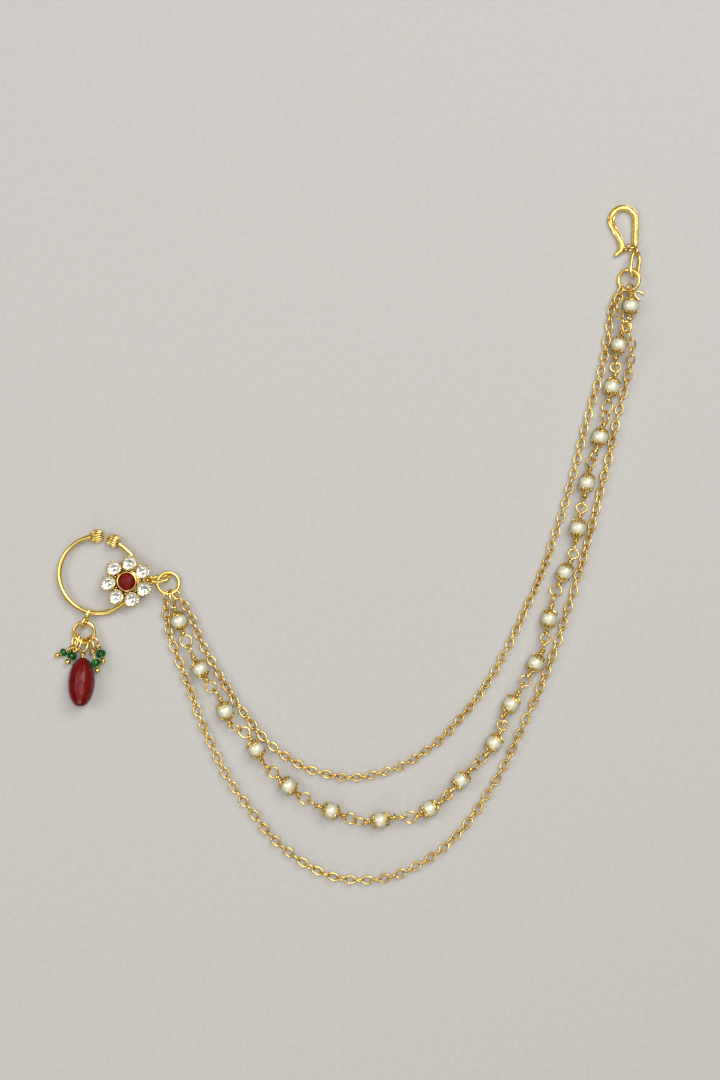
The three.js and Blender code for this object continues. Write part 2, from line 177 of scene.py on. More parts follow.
def lathe(
    profile: Profile,
    sides: int,
    lobes: Callable[[np.ndarray], np.ndarray] | None = None,
    ring: bool = False,
) -> Shell:
    """Turns a profile about X.

    Args:
        profile: Pairs of (x, radius), from low x to high x along the outside.
        sides: Corners round the turn.
        lobes: Factor on the radius by angle round the turn.
        ring: Whether the profile closes on itself, as round a bore.

    Returns:
        The turned body.
    """
    turn = np.arange(sides) * 2 * math.pi / sides
    factor = lobes(turn) if lobes else np.ones(sides)
    points: list[np.ndarray] = []
    rows: list[list[int]] = []
    for x, radius in profile:
        start = len(points)
        if radius < 1e-6:
            points.append(vec(x, 0, 0))
            rows.append([start] * sides)
            continue
        r = radius * factor
        points.extend(np.column_stack([np.full(sides, x), r * np.cos(turn), r * np.sin(turn)]))
        rows.append(list(range(start, start + sides)))
    if ring:
        rows.append(rows[0])
    faces = []
    for low, high in zip(rows, rows[1:]):
        for j in range(sides):
            k = (j + 1) % sides
            corners = dict.fromkeys((low[j], low[k], high[k], high[j]))
            if len(corners) > 2:
                faces.append(tuple(corners))
    return Shell(np.array(points), faces)


def ball(radius: float, at: np.ndarray, sides: int = 14, rings: int = 9) -> Shell:
    """A small cast ball.

    Args:
        radius: Its radius.
        at: Its centre.
        sides: Corners round it.
        rings: Steps from pole to pole.

    Returns:
        The ball.
    """
    turns = np.linspace(-math.pi / 2, math.pi / 2, rings)
    profile = [(radius * math.sin(t), max(radius * math.cos(t), 0.0)) for t in turns]
    return lathe(profile, sides).placed(STANDING, at)


def oval(half_length: float, half_width: float, steps: int, square: float = 2.5) -> np.ndarray:
    """A closed oval path in the XY plane about the origin.

    Args:
        half_length: Half of its length along X.
        half_width: Half of its width along Y.
        steps: Points on it.
        square: How straight its long sides are.

    Returns:
        The path's points.
    """
    turn = np.arange(steps) * 2 * math.pi / steps
    c, s = np.cos(turn), np.sin(turn)
    x = half_width * c + (half_length - half_width) * np.tanh(square * c) / math.tanh(square)
    return np.column_stack([x, half_width * s, np.zeros(steps)])


def eye_path(length: float, half_width: float, pinch: float, skew: float) -> np.ndarray:
    """The open path of a wire eye that leaves the origin along X and comes back to it.

    Args:
        length: How far it reaches.
        half_width: Half of its width.
        pinch: 0 for square shoulders at the neck, 1 for a teardrop.
        skew: How far it leans to one side.

    Returns:
        The path's points.
    """
    turns = np.radians(np.linspace(152 - 24 * pinch, 18, 8))
    centre, reach = 0.5 + 0.07 * pinch, 0.5 - 0.07 * pinch
    shares = [(0.0, 0.1), *((centre + reach * math.cos(t), math.sin(t)) for t in turns)]
    rise = [(x * length, y * half_width) for x, y in shares]
    corners = [*rise, (length, 0.0), *((x, -y) for x, y in reversed(rise))]
    lean = [4 * skew * x / length * (1 - x / length) for x, _ in corners]
    route = np.array([(x, y + shift, 0.0) for (x, y), shift in zip(corners, lean)])
    return smooth_route(route, 0.17)


def smooth_route(points: np.ndarray, step: float) -> np.ndarray:
    """Evenly spaced points on a smooth curve through a route.

    Args:
        points: The route's points.
        step: Spacing wanted along the curve.

    Returns:
        Points whose spacing divides the length evenly.
    """
    ends = np.vstack([2 * points[0] - points[1], points, 2 * points[-1] - points[-2]])
    fine = []
    for p0, p1, p2, p3 in zip(ends, ends[1:], ends[2:], ends[3:]):
        t = np.linspace(0, 1, 24, endpoint=False)[:, None]
        square, cube = 2 * p0 - 5 * p1 + 4 * p2 - p3, 3 * p1 - p0 - 3 * p2 + p3
        fine.append(0.5 * (2 * p1 + (p2 - p0) * t + square * t**2 + cube * t**3))
    curve = np.vstack([*fine, points[-1:]])
    lengths = np.concatenate([[0], np.cumsum(np.linalg.norm(np.diff(curve, axis=0), axis=1))])
    count = max(round(lengths[-1] / step), 1)
    wanted = np.linspace(0, lengths[-1], count + 1)
    return np.column_stack([np.interp(wanted, lengths, curve[:, k]) for k in range(3)])


def hull(points: np.ndarray) -> tuple[np.ndarray, list[tuple[int, ...]]]:
    """The facets of the convex body round some points.

    Args:
        points: Its corners.

    Returns:
        Corners and faces.
    """
    work = bmesh.new()
    for p in points:
        work.verts.new(p)
    bmesh.ops.convex_hull(work, input=work.verts)
    flat = math.radians(1.0)
    bmesh.ops.dissolve_limit(work, angle_limit=flat, verts=work.verts, edges=work.edges)
    return drained(work)


def softened(shell: Shell, width: float) -> Shell:
    """A faceted body with its edges worn round.

    Args:
        shell: The body.
        width: How wide the wear is.

    Returns:
        The worn body.
    """
    work = bmesh.new()
    corners = [work.verts.new(p) for p in shell.points]
    for face in shell.faces:
        work.faces.new([corners[i] for i in face])
    edges = list(work.edges)
    bmesh.ops.bevel(
        work, geom=edges, offset=width, segments=3, profile=0.5, affect="EDGES", clamp_overlap=True
    )
    return Shell(*drained(work), shell.finish)


def drained(work: bmesh.types.BMesh) -> tuple[np.ndarray, list[tuple[int, ...]]]:
    """Takes the corners and outward faces from a working mesh, and frees it.

    Args:
        work: The working mesh.

    Returns:
        Corners and faces.
    """
    bmesh.ops.recalc_face_normals(work, faces=work.faces)
    work.verts.index_update()
    corners = np.array([v.co[:] for v in work.verts])
    faces = [tuple(v.index for v in f.verts) for f in work.faces]
    work.free()
    return corners, faces


def middle(node: str) -> np.ndarray:
    """The middle of a CAD node's box, in millimetres."""
    low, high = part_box(node)
    return (np.array(low) + np.array(high)) / 2 / MM


# ---- Finishes -------------------------------------------------------------------------------


def linear(code: str, alpha: float = 1.0) -> tuple[float, float, float, float]:
    """Turns an sRGB hex colour to linear light.

    Args:
        code: The colour as #rrggbb.
        alpha: Opacity to put behind it.

    Returns:
        Red, green, blue and alpha.
    """
    parts = [int(code[i : i + 2], 16) / 255 for i in (1, 3, 5)]
    r, g, b = (p / 12.92 if p <= 0.04045 else ((p + 0.055) / 1.055) ** 2.4 for p in parts)
    return (r, g, b, alpha)


def per_mm(size: float) -> float:
    """The texture scale that gives a pattern this size, in millimetres, on a model in metres."""
    return 1 / (size * MM)


def node(
    tree: bpy.types.NodeTree,
    kind: str,
    settings: dict[str, Any] | None = None,
    inputs: dict[str | int, Any] | None = None,
) -> bpy.types.Node:
    """Adds a node with its settings, and sets or links its inputs.

    Args:
        tree: The node tree that it joins.
        kind: Blender's name for the node.
        settings: Attributes of the node.
        inputs: Socket name or number to a value, or to the output that feeds it.

    Returns:
        The new node.
    """
    made = tree.nodes.new(kind)
    for key, value in (settings or {}).items():
        setattr(made, key, value)
    for key, value in (inputs or {}).items():
        if isinstance(value, bpy.types.NodeSocket):
            tree.links.new(value, made.inputs[key])
        else:
            made.inputs[key].default_value = value
    return made


def shades(tree: bpy.types.NodeTree, factor: Any, stops: Sequence[tuple[float, str]]) -> Any:
    """A colour ramp.

    Args:
        tree: The node tree.
        factor: The output that drives it.
        stops: Positions and sRGB hex colours.

    Returns:
        The ramp's colour output.
    """
    ramp = node(tree, "ShaderNodeValToRGB", inputs={"Fac": factor})
    elements = ramp.color_ramp.elements
    while len(elements) < len(stops):
        elements.new(0.5)
    for element, (place, code) in zip(elements, stops):
        element.position = place
        element.color = linear(code)
    return ramp.outputs["Color"]


def spread(tree: bpy.types.NodeTree, factor: Any, low: float, high: float) -> Any:
    """A value from 0 to 1 taken to a range.

    Args:
        tree: The node tree.
        factor: The output to map.
        low: What 0.3 becomes.
        high: What 0.7 becomes.

    Returns:
        The mapped output.
    """
    sockets = {"Value": factor, "From Min": 0.3, "From Max": 0.7, "To Min": low, "To Max": high}
    return node(tree, "ShaderNodeMapRange", inputs=sockets).outputs["Result"]


def noise(
    tree: bpy.types.NodeTree, place: Any, size: float, detail: float = 2.0, rough: float = 0.5
) -> Any:
    """Soft random blotches.

    Args:
        tree: The node tree.
        place: The output that gives the place.
        size: The blotches' size, in millimetres.
        detail: How many finer layers lie on top.
        rough: How strong the finer layers are.

    Returns:
        The pattern's value.
    """
    sockets = {"Vector": place, "Scale": per_mm(size), "Detail": detail, "Roughness": rough}
    return node(tree, "ShaderNodeTexNoise", inputs=sockets).outputs["Fac"]


def blend(tree: bpy.types.NodeTree, share: Any, tone: Any, code: str) -> Any:
    """Takes one tone over into another.

    Args:
        tree: The node tree.
        share: The output that is 1 where only the second tone shows.
        tone: The output with the first tone.
        code: The second tone, as an sRGB hex colour.

    Returns:
        The blended colour.
    """
    sockets = {"Factor": share, 6: tone, 7: linear(code)}
    return node(tree, "ShaderNodeMix", {"data_type": "RGBA"}, sockets).outputs[2]


def relief(tree: bpy.types.NodeTree, height: Any, strength: float, depth: float) -> Any:
    """A fine unevenness of the surface.

    Args:
        tree: The node tree.
        height: The output that gives the height.
        strength: How much of it shows.
        depth: From hollow to crest, in millimetres.

    Returns:
        The bumped normal.
    """
    sockets = {"Strength": strength, "Distance": depth * MM, "Height": height}
    return node(tree, "ShaderNodeBump", inputs=sockets).outputs["Normal"]


def new_material(name: str) -> tuple[bpy.types.Material, bpy.types.NodeTree, Any, Any]:
    """An empty node material.

    Args:
        name: The material's name.

    Returns:
        The material, its tree, its principled shader and its object coordinates.
    """
    made = bpy.data.materials.new(name)
    made.use_nodes = True
    tree = made.node_tree
    shader = tree.nodes["Principled BSDF"]
    place = node(tree, "ShaderNodeTexCoord").outputs["Object"]
    return made, tree, shader, place


@dataclass(frozen=True)
class GoldPlate:
    """Brass plated with a flash of yellow gold. Bright, with painted shade that turns its hollows
    browner.
    """

    name: str = "gold_plated_brass_polished"
    bright: str = "#ffe694"
    warm: str = "#f0c866"
    painted_recess_shade: str = "#5f350a"
    sheen_low: float = 0.14
    sheen_high: float = 0.24
    ripple: float = 0.04
    mottle_mm: float = 2.0
    ripple_mm: float = 0.6
    ripple_depth_mm: float = 0.05
    painted_shade_reach_mm: float = 0.7

    def material(self) -> bpy.types.Material:
        """The metal: mottled tone, uneven polish, and painted shade, brown where occlusion finds a
        hollow.

        Returns:
            The plated metal.
        """
        made, tree, shader, place = new_material(self.name)
        mottle = noise(tree, place, self.mottle_mm, 3.0)
        tone = shades(tree, mottle, [(0.35, self.warm), (0.65, self.bright)])
        # Painted shade: ambient occlusion within the piece blends the tone to brown in its hollows.
        hollow = node(
            tree,
            "ShaderNodeAmbientOcclusion",
            {"samples": 6, "only_local": True},
            {"Distance": self.painted_shade_reach_mm * MM},
        )
        depth = shades(tree, hollow.outputs["AO"], [(0.25, "#ffffff"), (0.8, "#000000")])
        tree.links.new(blend(tree, depth, tone, self.painted_recess_shade), shader.inputs["Base Color"])
        grain = noise(tree, place, self.ripple_mm)
        polish = spread(tree, grain, self.sheen_low, self.sheen_high)
        tree.links.new(polish, shader.inputs["Roughness"])
        bump = relief(tree, grain, self.ripple, self.ripple_depth_mm)
        tree.links.new(bump, shader.inputs["Normal"])
        shader.inputs["Metallic"].default_value = 1.0
        return made


@dataclass(frozen=True)
class LeadGlass:
    """Cut and polished lead glass: clear, with a strong refraction."""

    name: str = "lead_glass_cut"
    ior: float = 1.6

    def material(self) -> bpy.types.Material:
        """The glass, with faint polishing haze.

        Returns:
            The clear glass.
        """
        made, tree, shader, place = new_material(self.name)
        haze = noise(tree, place, 0.6)
        tree.links.new(spread(tree, haze, 0.0, 0.03), shader.inputs["Roughness"])
        tint = shades(tree, haze, [(0.3, "#fffefa"), (0.7, "#f7f6ee")])
        tree.links.new(tint, shader.inputs["Base Color"])
        shader.inputs["IOR"].default_value = self.ior
        shader.inputs["Transmission Weight"].default_value = 1.0
        return made


@dataclass(frozen=True)
class SilverFoil:
    """Vacuum-silvered backing of a paste stone, a mirror with small flaws."""

    name: str = "silver_foil_backing"

    def material(self) -> bpy.types.Material:
        """The mirror coat behind the glass.

        Returns:
            The mirror coat.
        """
        made, tree, shader, place = new_material(self.name)
        flaws = noise(tree, place, 0.8, 3.0)
        tone = shades(tree, flaws, [(0.35, "#e6e3d8"), (0.6, "#fffdf6")])
        tree.links.new(tone, shader.inputs["Base Color"])
        tree.links.new(spread(tree, flaws, 0.04, 0.14), shader.inputs["Roughness"])
        shader.inputs["Metallic"].default_value = 0.85
        return made


@dataclass(frozen=True)
class MattGarnetGlass:
    """Pressed opaque red glass with a satin face, so its highlight is broad and soft."""

    name: str = "garnet_glass_pressed_satin"

    def material(self) -> bpy.types.Material:
        """The satin red cabochon, cloudy under the surface.

        Returns:
            The satin glass.
        """
        made, tree, shader, place = new_material(self.name)
        cloud = noise(tree, place, 1.6, 4.0, 0.6)
        tone = shades(tree, cloud, [(0.3, "#4a0506"), (0.55, "#7a0b0c"), (0.75, "#931a17")])
        tree.links.new(tone, shader.inputs["Base Color"])
        tree.links.new(spread(tree, cloud, 0.42, 0.55), shader.inputs["Roughness"])
        pits = noise(tree, place, 0.25)
        tree.links.new(relief(tree, pits, 0.12, 0.03), shader.inputs["Normal"])
        shader.inputs["Specular IOR Level"].default_value = 0.25
        return made


@dataclass(frozen=True)
class RubyQuartz:
    """Dyed quartz, cut and polished: deep red, with paler healed cracks along its length."""

    name: str = "ruby_quartz_dyed_polished"
    deep: str = "#3c0203"
    body: str = "#660505"
    bright: str = "#800907"
    crack: str = "#8e3b30"

    def material(self) -> bpy.types.Material:
        """Red body with streaks that run from hole to tip, and a rim darkened with painted shade.

        Returns:
            The polished stone.
        """
        made, tree, shader, place = new_material(self.name)
        drawn_out = {"Vector": place, "Scale": (1.0, 0.28, 1.0)}
        drawn = node(tree, "ShaderNodeMapping", inputs=drawn_out).outputs["Vector"]
        veins = noise(tree, drawn, 1.5, 5.0, 0.65)
        stops = [(0.34, self.deep), (0.46, self.bright), (0.55, self.body), (0.64, self.crack)]
        tone = shades(tree, veins, stops)
        # Painted shade: where the face turns away from view, the colour is blended to the deep red.
        edge = node(tree, "ShaderNodeLayerWeight", inputs={"Blend": 0.38}).outputs["Facing"]
        tree.links.new(blend(tree, edge, tone, self.deep), shader.inputs["Base Color"])
        marks = noise(tree, place, 0.9)
        tree.links.new(spread(tree, marks, 0.22, 0.36), shader.inputs["Roughness"])
        shader.inputs["IOR"].default_value = 1.54
        shader.inputs["Specular IOR Level"].default_value = 0.2
        shader.inputs["Coat Weight"].default_value = 0.22
        shader.inputs["Coat Roughness"].default_value = 0.1
        return made


@dataclass(frozen=True)
class GreenGlass:
    """Drawn transparent green glass, tumbled: dark, with a bright core where the wire shows."""

    name: str = "green_glass_drawn"

    def material(self) -> bpy.types.Material:
        """The see-through green.

        Returns:
            The clear green glass.
        """
        made, tree, shader, place = new_material(self.name)
        seeds = noise(tree, place, 0.8, 3.0)
        tone = shades(tree, seeds, [(0.3, "#189040"), (0.7, "#2bb056")])
        tree.links.new(tone, shader.inputs["Base Color"])
        tree.links.new(spread(tree, seeds, 0.02, 0.08), shader.inputs["Roughness"])
        shader.inputs["IOR"].default_value = 1.52
        shader.inputs["Transmission Weight"].default_value = 1.0
        return made


@dataclass(frozen=True)
class PearlLacquer:
    """Glass beads dipped in pearl essence: cream, greener and darker towards the rim, partly lustre
    tint and partly painted shade, with a glossy skin.
    """

    name: str = "pearl_essence_on_glass"
    cream: str = "#f1f0d8"
    rose: str = "#ebe2c4"
    rim: str = "#8a8c62"

    def material(self) -> bpy.types.Material:
        """The lustre: a cream body, a grey-green edge that is partly tint and partly painted shade,
        and a clear coat.

        Returns:
            The lacquered glass.
        """
        made, tree, shader, place = new_material(self.name)
        cloud = noise(tree, place, 2.6, 3.0)
        body = shades(tree, cloud, [(0.4, self.cream), (0.68, self.rose)])
        # Partly painted shade: the rim, where the face turns away from view, is blended to a darker
        # grey-green.
        edge = node(tree, "ShaderNodeLayerWeight", inputs={"Blend": 0.48}).outputs["Facing"]
        tree.links.new(blend(tree, edge, body, self.rim), shader.inputs["Base Color"])
        dip = noise(tree, place, 0.35)
        tree.links.new(spread(tree, dip, 0.26, 0.36), shader.inputs["Roughness"])
        shader.inputs["IOR"].default_value = 1.56
        shader.inputs["Metallic"].default_value = 0.15
        shader.inputs["Coat Weight"].default_value = 0.7
        shader.inputs["Coat Roughness"].default_value = 0.12
        return made


@dataclass(frozen=True)
class MattBoard:
    """Pale matt card that the jewel lies on: no gloss, with a faint tooth."""

    name: str = "pale_card_matt"

    def material(self) -> bpy.types.Material:
        """The card.

        Returns:
            The card's material.
        """
        made, tree, shader, place = new_material(self.name)
        tooth = noise(tree, place, 1.2, 3.0)
        tone = shades(tree, tooth, [(0.3, "#c4c2be"), (0.7, "#c9c7c3")])
        tree.links.new(tone, shader.inputs["Base Color"])
        shader.inputs["Roughness"].default_value = 0.85
        shader.inputs["Specular IOR Level"].default_value = 0.2
        return made


class Finish(Enum):
    """The finishes that pieces are dressed in."""

    HOOP_GOLD = GoldPlate()
    WIRE_GOLD = GoldPlate(
        name="gold_plated_wire_drawn", bright="#ffe591", warm="#eec562", mottle_mm=3.0
    )
    CHAIN_GOLD = GoldPlate(
        name="gold_plated_chain_tumbled",
        bright="#fcdf8c",
        warm="#e4b658",
        sheen_low=0.2,
        sheen_high=0.3,
        ripple=0.02,
        mottle_mm=6.0,
    )
    CAST_GOLD = GoldPlate(
        name="gold_plated_casting",
        bright="#fee292",
        warm="#e9be60",
        sheen_low=0.16,
        sheen_high=0.28,
        ripple=0.08,
        mottle_mm=1.8,
    )
    CRYSTAL = LeadGlass()
    FOIL = SilverFoil()
    GARNET = MattGarnetGlass()
    RUBY = RubyQuartz()
    GREEN = GreenGlass()
    PEARL = PearlLacquer()
    BOARD = MattBoard()

    def material(self) -> bpy.types.Material:
        """The finish's material, made on first use."""
        return bpy.data.materials.get(self.value.name) or self.value.material()


def make_piece(
    name: str,
    shells: Sequence[Shell],
    finishes: Sequence[Finish],
    nodes: Sequence[str],
    crease: float = 38.0,
) -> bpy.types.Object:
    """Joins shells into one piece, dresses it and ties it to the frame.

    Args:
        name: The piece's name.
        shells: Its surfaces, in millimetres.
        finishes: Its finishes, in the order that the shells number them.
        nodes: The CAD nodes that it stands for.
        crease: Edges sharper than this, in degrees, stay sharp.

    Returns:
        The piece.
    """
    starts = np.cumsum([0] + [len(s.points) for s in shells])
    faces = [tuple(i + start for i in f) for s, start in zip(shells, starts) for f in s.faces]
    mesh = bpy.data.meshes.new(name)
    mesh.from_pydata((np.vstack([s.points for s in shells]) * MM).tolist(), [], faces)
    for finish in finishes:
        mesh.materials.append(finish.material())
    slots = np.concatenate([np.full(len(s.faces), s.finish, np.int32) for s in shells])
    mesh.polygons.foreach_set("material_index", slots)
    mesh.shade_smooth()
    mesh.set_sharp_from_angle(angle=math.radians(crease))
    mesh.update()
    piece = bpy.data.objects.new(name, mesh)
    bpy.context.collection.objects.link(piece)
    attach(piece, BODY)
    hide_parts(*nodes)
    LOG.info("%s: %d faces, stands for %s", name, len(faces), ", ".join(nodes))
    return piece


# ---- The hoop and its flower ----------------------------------------------------------------


@dataclass
class NoseHoop:
    """The sprung hoop, its two fluted end beads and the loop that the drops hang from."""

    radius: float = 9.24
    wire: float = 0.6
    start: float = 108.0
    end: float = 402.0
    bead_headings: tuple[float, float] = (184.0, 153.0)
    bead_radius: float = 1.62
    bead_length: float = 3.0
    bead_bore: float = 0.68
    flutes: int = 14
    loop_half: tuple[float, float] = (1.1, 1.08)
    loop_wire: float = 0.46
    loop_roll: float = 68.0
    loop_at: tuple[float, float, float] = (-63.6, -18.5, 1.68)
    loop_foot: tuple[float, float, float] = (-62.7, -15.9, 1.65)

    def centre(self) -> np.ndarray:
        """The hoop's centre, from the frame's left edge and the first end bead.

        Returns:
            A point in millimetres.
        """
        low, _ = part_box("nath_frame")
        bead = middle("end_bead_1")
        return vec(low[0] / MM + self.radius + self.wire, bead[1] - self.radius, bead[2])

    def bead_axis(self, index: int) -> np.ndarray:
        """The direction of an end bead's wire."""
        turn = math.radians(self.bead_headings[index])
        return vec(math.cos(turn), math.sin(turn), 0)

    def wire_shells(self) -> list[Shell]:
        """The hoop's wire through both beads, with domed ends, and the drop loop.

        Returns:
            The hoop's wire, the loop and its solder.
        """
        first, second = middle("end_bead_1"), middle("end_bead_2")
        turn = np.radians(np.linspace(self.start, self.end, 40))
        arc = self.centre() + self.radius * np.column_stack(
            [np.cos(turn), np.sin(turn), np.zeros(len(turn))]
        )
        a, b = self.bead_axis(0), self.bead_axis(1)
        route = np.vstack([first - 1.75 * a, first, first + 1.4 * a, arc[1:-1]])
        route = np.vstack([route, second - 1.4 * b, second, second + 1.75 * b])
        path = smooth_route(route, 0.4)
        ends = np.minimum(np.arange(len(path)), np.arange(len(path))[::-1])
        scale = np.sqrt(np.clip((ends + 0.35) / 1.6, 0, 1))
        hoop = sweep(path, round_section(self.wire, 20), scale=scale)
        at, foot = np.array(self.loop_at), np.array(self.loop_foot)
        ring = oval(*self.loop_half, 40)
        loop = sweep(ring, round_section(self.loop_wire, 14), closed=True)
        loop = loop.placed(aim(foot - at, self.loop_roll), at)
        solder = lathe([(-0.9, 0), (-0.75, 0.5), (0.0, 0.74), (0.9, 0.6), (1.4, 0.0)], 16)
        return [hoop, loop, solder.placed(aim(foot - at), foot - 0.75 * unit(foot - at))]

    def bead(self, index: int) -> Shell:
        """A fluted melon bead with a bore.

        Args:
            index: 0 for the first end bead, 1 for the second.

        Returns:
            The bead in place.
        """
        half, bore = self.bead_length / 2, self.bead_bore
        profile = [(-half + 0.12, bore), (-half, bore + 0.14), (-half, 0.95)]
        for step in np.linspace(-0.86, 0.86, 15):
            profile.append((half * step / 0.9, self.bead_radius * math.cos(step * 1.2) ** 0.55))
        profile += [(half, 0.95), (half, bore + 0.14), (half - 0.12, bore)]

        def lobes(turn: np.ndarray) -> np.ndarray:
            """Rounded ridges with narrow valleys between them."""
            return 0.84 + 0.16 * np.abs(np.cos(self.flutes / 2 * turn)) ** 0.55

        body = lathe(profile, self.flutes * 10, lobes, ring=True)
        return body.placed(aim(self.bead_axis(index)), middle(f"end_bead_{index + 1}"))

    def build(self) -> None:
        """Makes the two end beads; the wire goes with the flower's setting."""
        for index in (0, 1):
            nodes = [f"end_bead_{index + 1}"]
            name = f"fluted_bead_{index + 1}"
            make_piece(name, [self.bead(index)], [Finish.CAST_GOLD], nodes, 60)


@dataclass
class GemFlower:
    """Seven foiled crystals in cups round a red cabochon, soldered to the hoop."""

    petals: int = 7
    petal_step: float = 50.6
    plate_z: float = 2.1
    plate: float = 4.5
    cup_base: float = 1.25
    cup_rim: float = 1.77
    cup_top: float = 3.86
    crystal_girdle: float = 1.62
    bezel: float = 2.36
    bezel_top: float = 4.1
    eye: tuple[float, float, float] = (-48.05, -8.4, 1.6)
    eye_radius: float = 0.8
    eye_wire: float = 0.3
    eye_tilt: float = 28.0
    dome_height: float = 1.35
    crystal_spin: float = 17.0
    granules: tuple[tuple[float, float, float], ...] = ((0.42, 3.1, 3.0), (0.36, 4.35, 2.85))
    link_granules: tuple[tuple[float, float], ...] = ((0.42, 3.2), (0.45, 4.0), (0.4, 4.8))

    def petal(self, index: int) -> np.ndarray:
        """The middle of a petal, level with the surface."""
        return middle(f"crystal_{index + 1}") * vec(1, 1, 0)

    def centre(self) -> np.ndarray:
        """The flower's middle, level with the surface."""
        return middle("centre_stone") * vec(1, 1, 0)

    def cup(self, index: int) -> Shell:
        """A flared cup with a rolled rim that closes over the crystal's edge.

        Args:
            index: Which petal it belongs to.

        Returns:
            The cup in place.
        """
        low, top, at = self.plate_z + 0.3, self.cup_top, self.petal(index)
        rim, base = self.cup_rim, self.cup_base
        profile = [
            (low, 0),
            (low, base),
            (low + 0.5 * (top - low), base + 0.34),
            (top - 0.12, rim - 0.03),
            (top - 0.02, rim + 0.04),
            (top + 0.06, rim - 0.03),
            (top, rim - 0.13),
            (top - 0.25, rim - 0.18),
            (low + 0.55, base - 0.1),
            (low + 0.5, 0),
        ]
        return lathe(profile, 40).placed(STANDING, at)

    def setting(self) -> list[Shell]:
        """The plate, cups, bezel, granules and the eye on its tongue.

        Returns:
            The setting's shells in place.
        """
        at, z = self.centre(), self.plate_z
        edge, back = self.plate, z + 0.46
        plate = [(z, 0), (z, edge - 0.2), (z + 0.12, edge), (z + 0.36, edge), (back, edge - 0.2)]
        parts = [lathe([*plate, (back, 0)], 64).placed(STANDING, at)]
        for index in range(self.petals):
            parts.append(self.cup(index))
        outer, top = self.bezel, self.bezel_top
        wall = [
            (z + 0.2, 0),
            (z + 0.2, outer + 0.05),
            (top - 0.2, outer + 0.02),
            (top - 0.03, outer),
            (top + 0.03, outer - 0.1),
            (top + 0.03, outer - 0.22),
            (top - 0.05, outer - 0.32),
            (top - 0.8, outer - 0.34),
            (top - 0.85, 0),
        ]
        parts.append(lathe(wall, 64).placed(STANDING, at))
        first = self.petal(0) - at
        start = math.atan2(first[1], first[0])
        gap = math.radians(self.petal_step)
        for index in range(self.petals - 1):
            turn = start + (index + 0.5) * gap
            for radius, reach, height in self.granules:
                spot = at + vec(reach * math.cos(turn), reach * math.sin(turn), height)
                parts.append(ball(radius, spot))
        for radius, reach in self.link_granules:
            spot = at + vec(reach, 0.25, 3.05)
            parts.append(ball(radius, spot))
        return parts + self.eye_shells()

    def eye_shells(self) -> list[Shell]:
        """The round-edged tongue that leaves the link side, and the eye at its end.

        Returns:
            The tongue, the eye and the joint between them.
        """
        at, eye = self.centre(), np.array(self.eye)
        section = np.array([[-0.62, -0.2], [0.62, -0.2], [0.66, 0.0], [0.5, 0.32], [-0.5, 0.32]])
        start, stop = at + vec(2.0, 0.3, self.plate_z + 0.3), vec(eye[0] - 0.62, eye[1], 2.25)
        path = smooth_route(np.array([start, (start + stop) / 2, stop]), 0.4)
        tongue = sweep(path, section, scale=np.linspace(1.0, 0.72, len(path)))
        circle = oval(self.eye_radius, self.eye_radius, 32)
        ring = sweep(circle, round_section(self.eye_wire, 10), closed=True)
        tilt = math.radians(self.eye_tilt)
        lean = np.array([[1, 0, 0], [0, math.cos(tilt), math.sin(tilt)]])
        basis = np.vstack([lean, np.cross(lean[0], lean[1])])
        joint = ball(0.4, vec(eye[0] - self.eye_radius, eye[1], 1.9))
        return [tongue, ring.placed(basis, eye), joint]

    def crystal(self) -> np.ndarray:
        """A round brilliant's corners: table, crown, girdle, and a shallow foot of two slopes.

        Returns:
            Corners about the middle of the girdle.
        """
        girdle = self.crystal_girdle
        rings = [
            (0.52, 0.5 * girdle, 8, 0.5),
            (0.34, 0.76 * girdle, 8, 0.0),
            (0.08, girdle, 16, 0.25),
            (0.0, girdle, 16, 0.25),
            (-0.3, 0.48 * girdle, 8, 0.5),
        ]
        points = []
        for z, radius, count, offset in rings:
            turn = (np.arange(count) + offset) * 2 * math.pi / count
            level = np.full(count, z)
            points.append(np.column_stack([radius * np.cos(turn), radius * np.sin(turn), level]))
        return np.vstack([*points, [[0, 0, -0.46]]])

    def build(self, hoop: NoseHoop) -> None:
        """Makes the soldered frame with the hoop's wire, the crystals and the cabochon.

        Args:
            hoop: The hoop that the flower is soldered to.
        """
        shells = hoop.wire_shells() + self.setting()
        make_piece("soldered_hoop_and_flower", shells, [Finish.HOOP_GOLD], ["nath_frame"])
        for index in range(self.petals):
            self.build_crystal(index)
        at = self.centre() + vec(0, 0, self.bezel_top - 0.75)
        radius, height = self.bezel - 0.32, self.dome_height
        turns = np.linspace(0, math.pi / 2, 12)
        dome = [(0.0, 0.0), *((height * math.sin(t), radius * math.cos(t)) for t in turns)]
        stone = lathe(dome, 48).placed(STANDING, at)
        make_piece("red_cabochon", [stone], [Finish.GARNET], ["centre_stone"])

    def build_crystal(self, index: int) -> None:
        """Makes one crystal, crown in clear glass and foot silvered.

        Args:
            index: Which petal it sits in.
        """
        turn = math.radians(self.crystal_spin * index)
        spin = np.array(
            [[math.cos(turn), math.sin(turn), 0], [-math.sin(turn), math.cos(turn), 0], [0, 0, 1]]
        )
        at = self.petal(index) + vec(0, 0, self.cup_top + 0.02)
        stone = Shell(*hull(self.crystal())).placed(spin, at)
        name = f"foiled_crystal_{index + 1}"
        finishes = [Finish.CRYSTAL, Finish.FOIL]
        piece = make_piece(name, [stone], finishes, [f"crystal_{index + 1}"], 1.0)
        for face in piece.data.polygons:
            face.material_index = 1 if face.normal.z < -0.2 else 0


# ---- Rings and links ------------------------------------------------------------------------


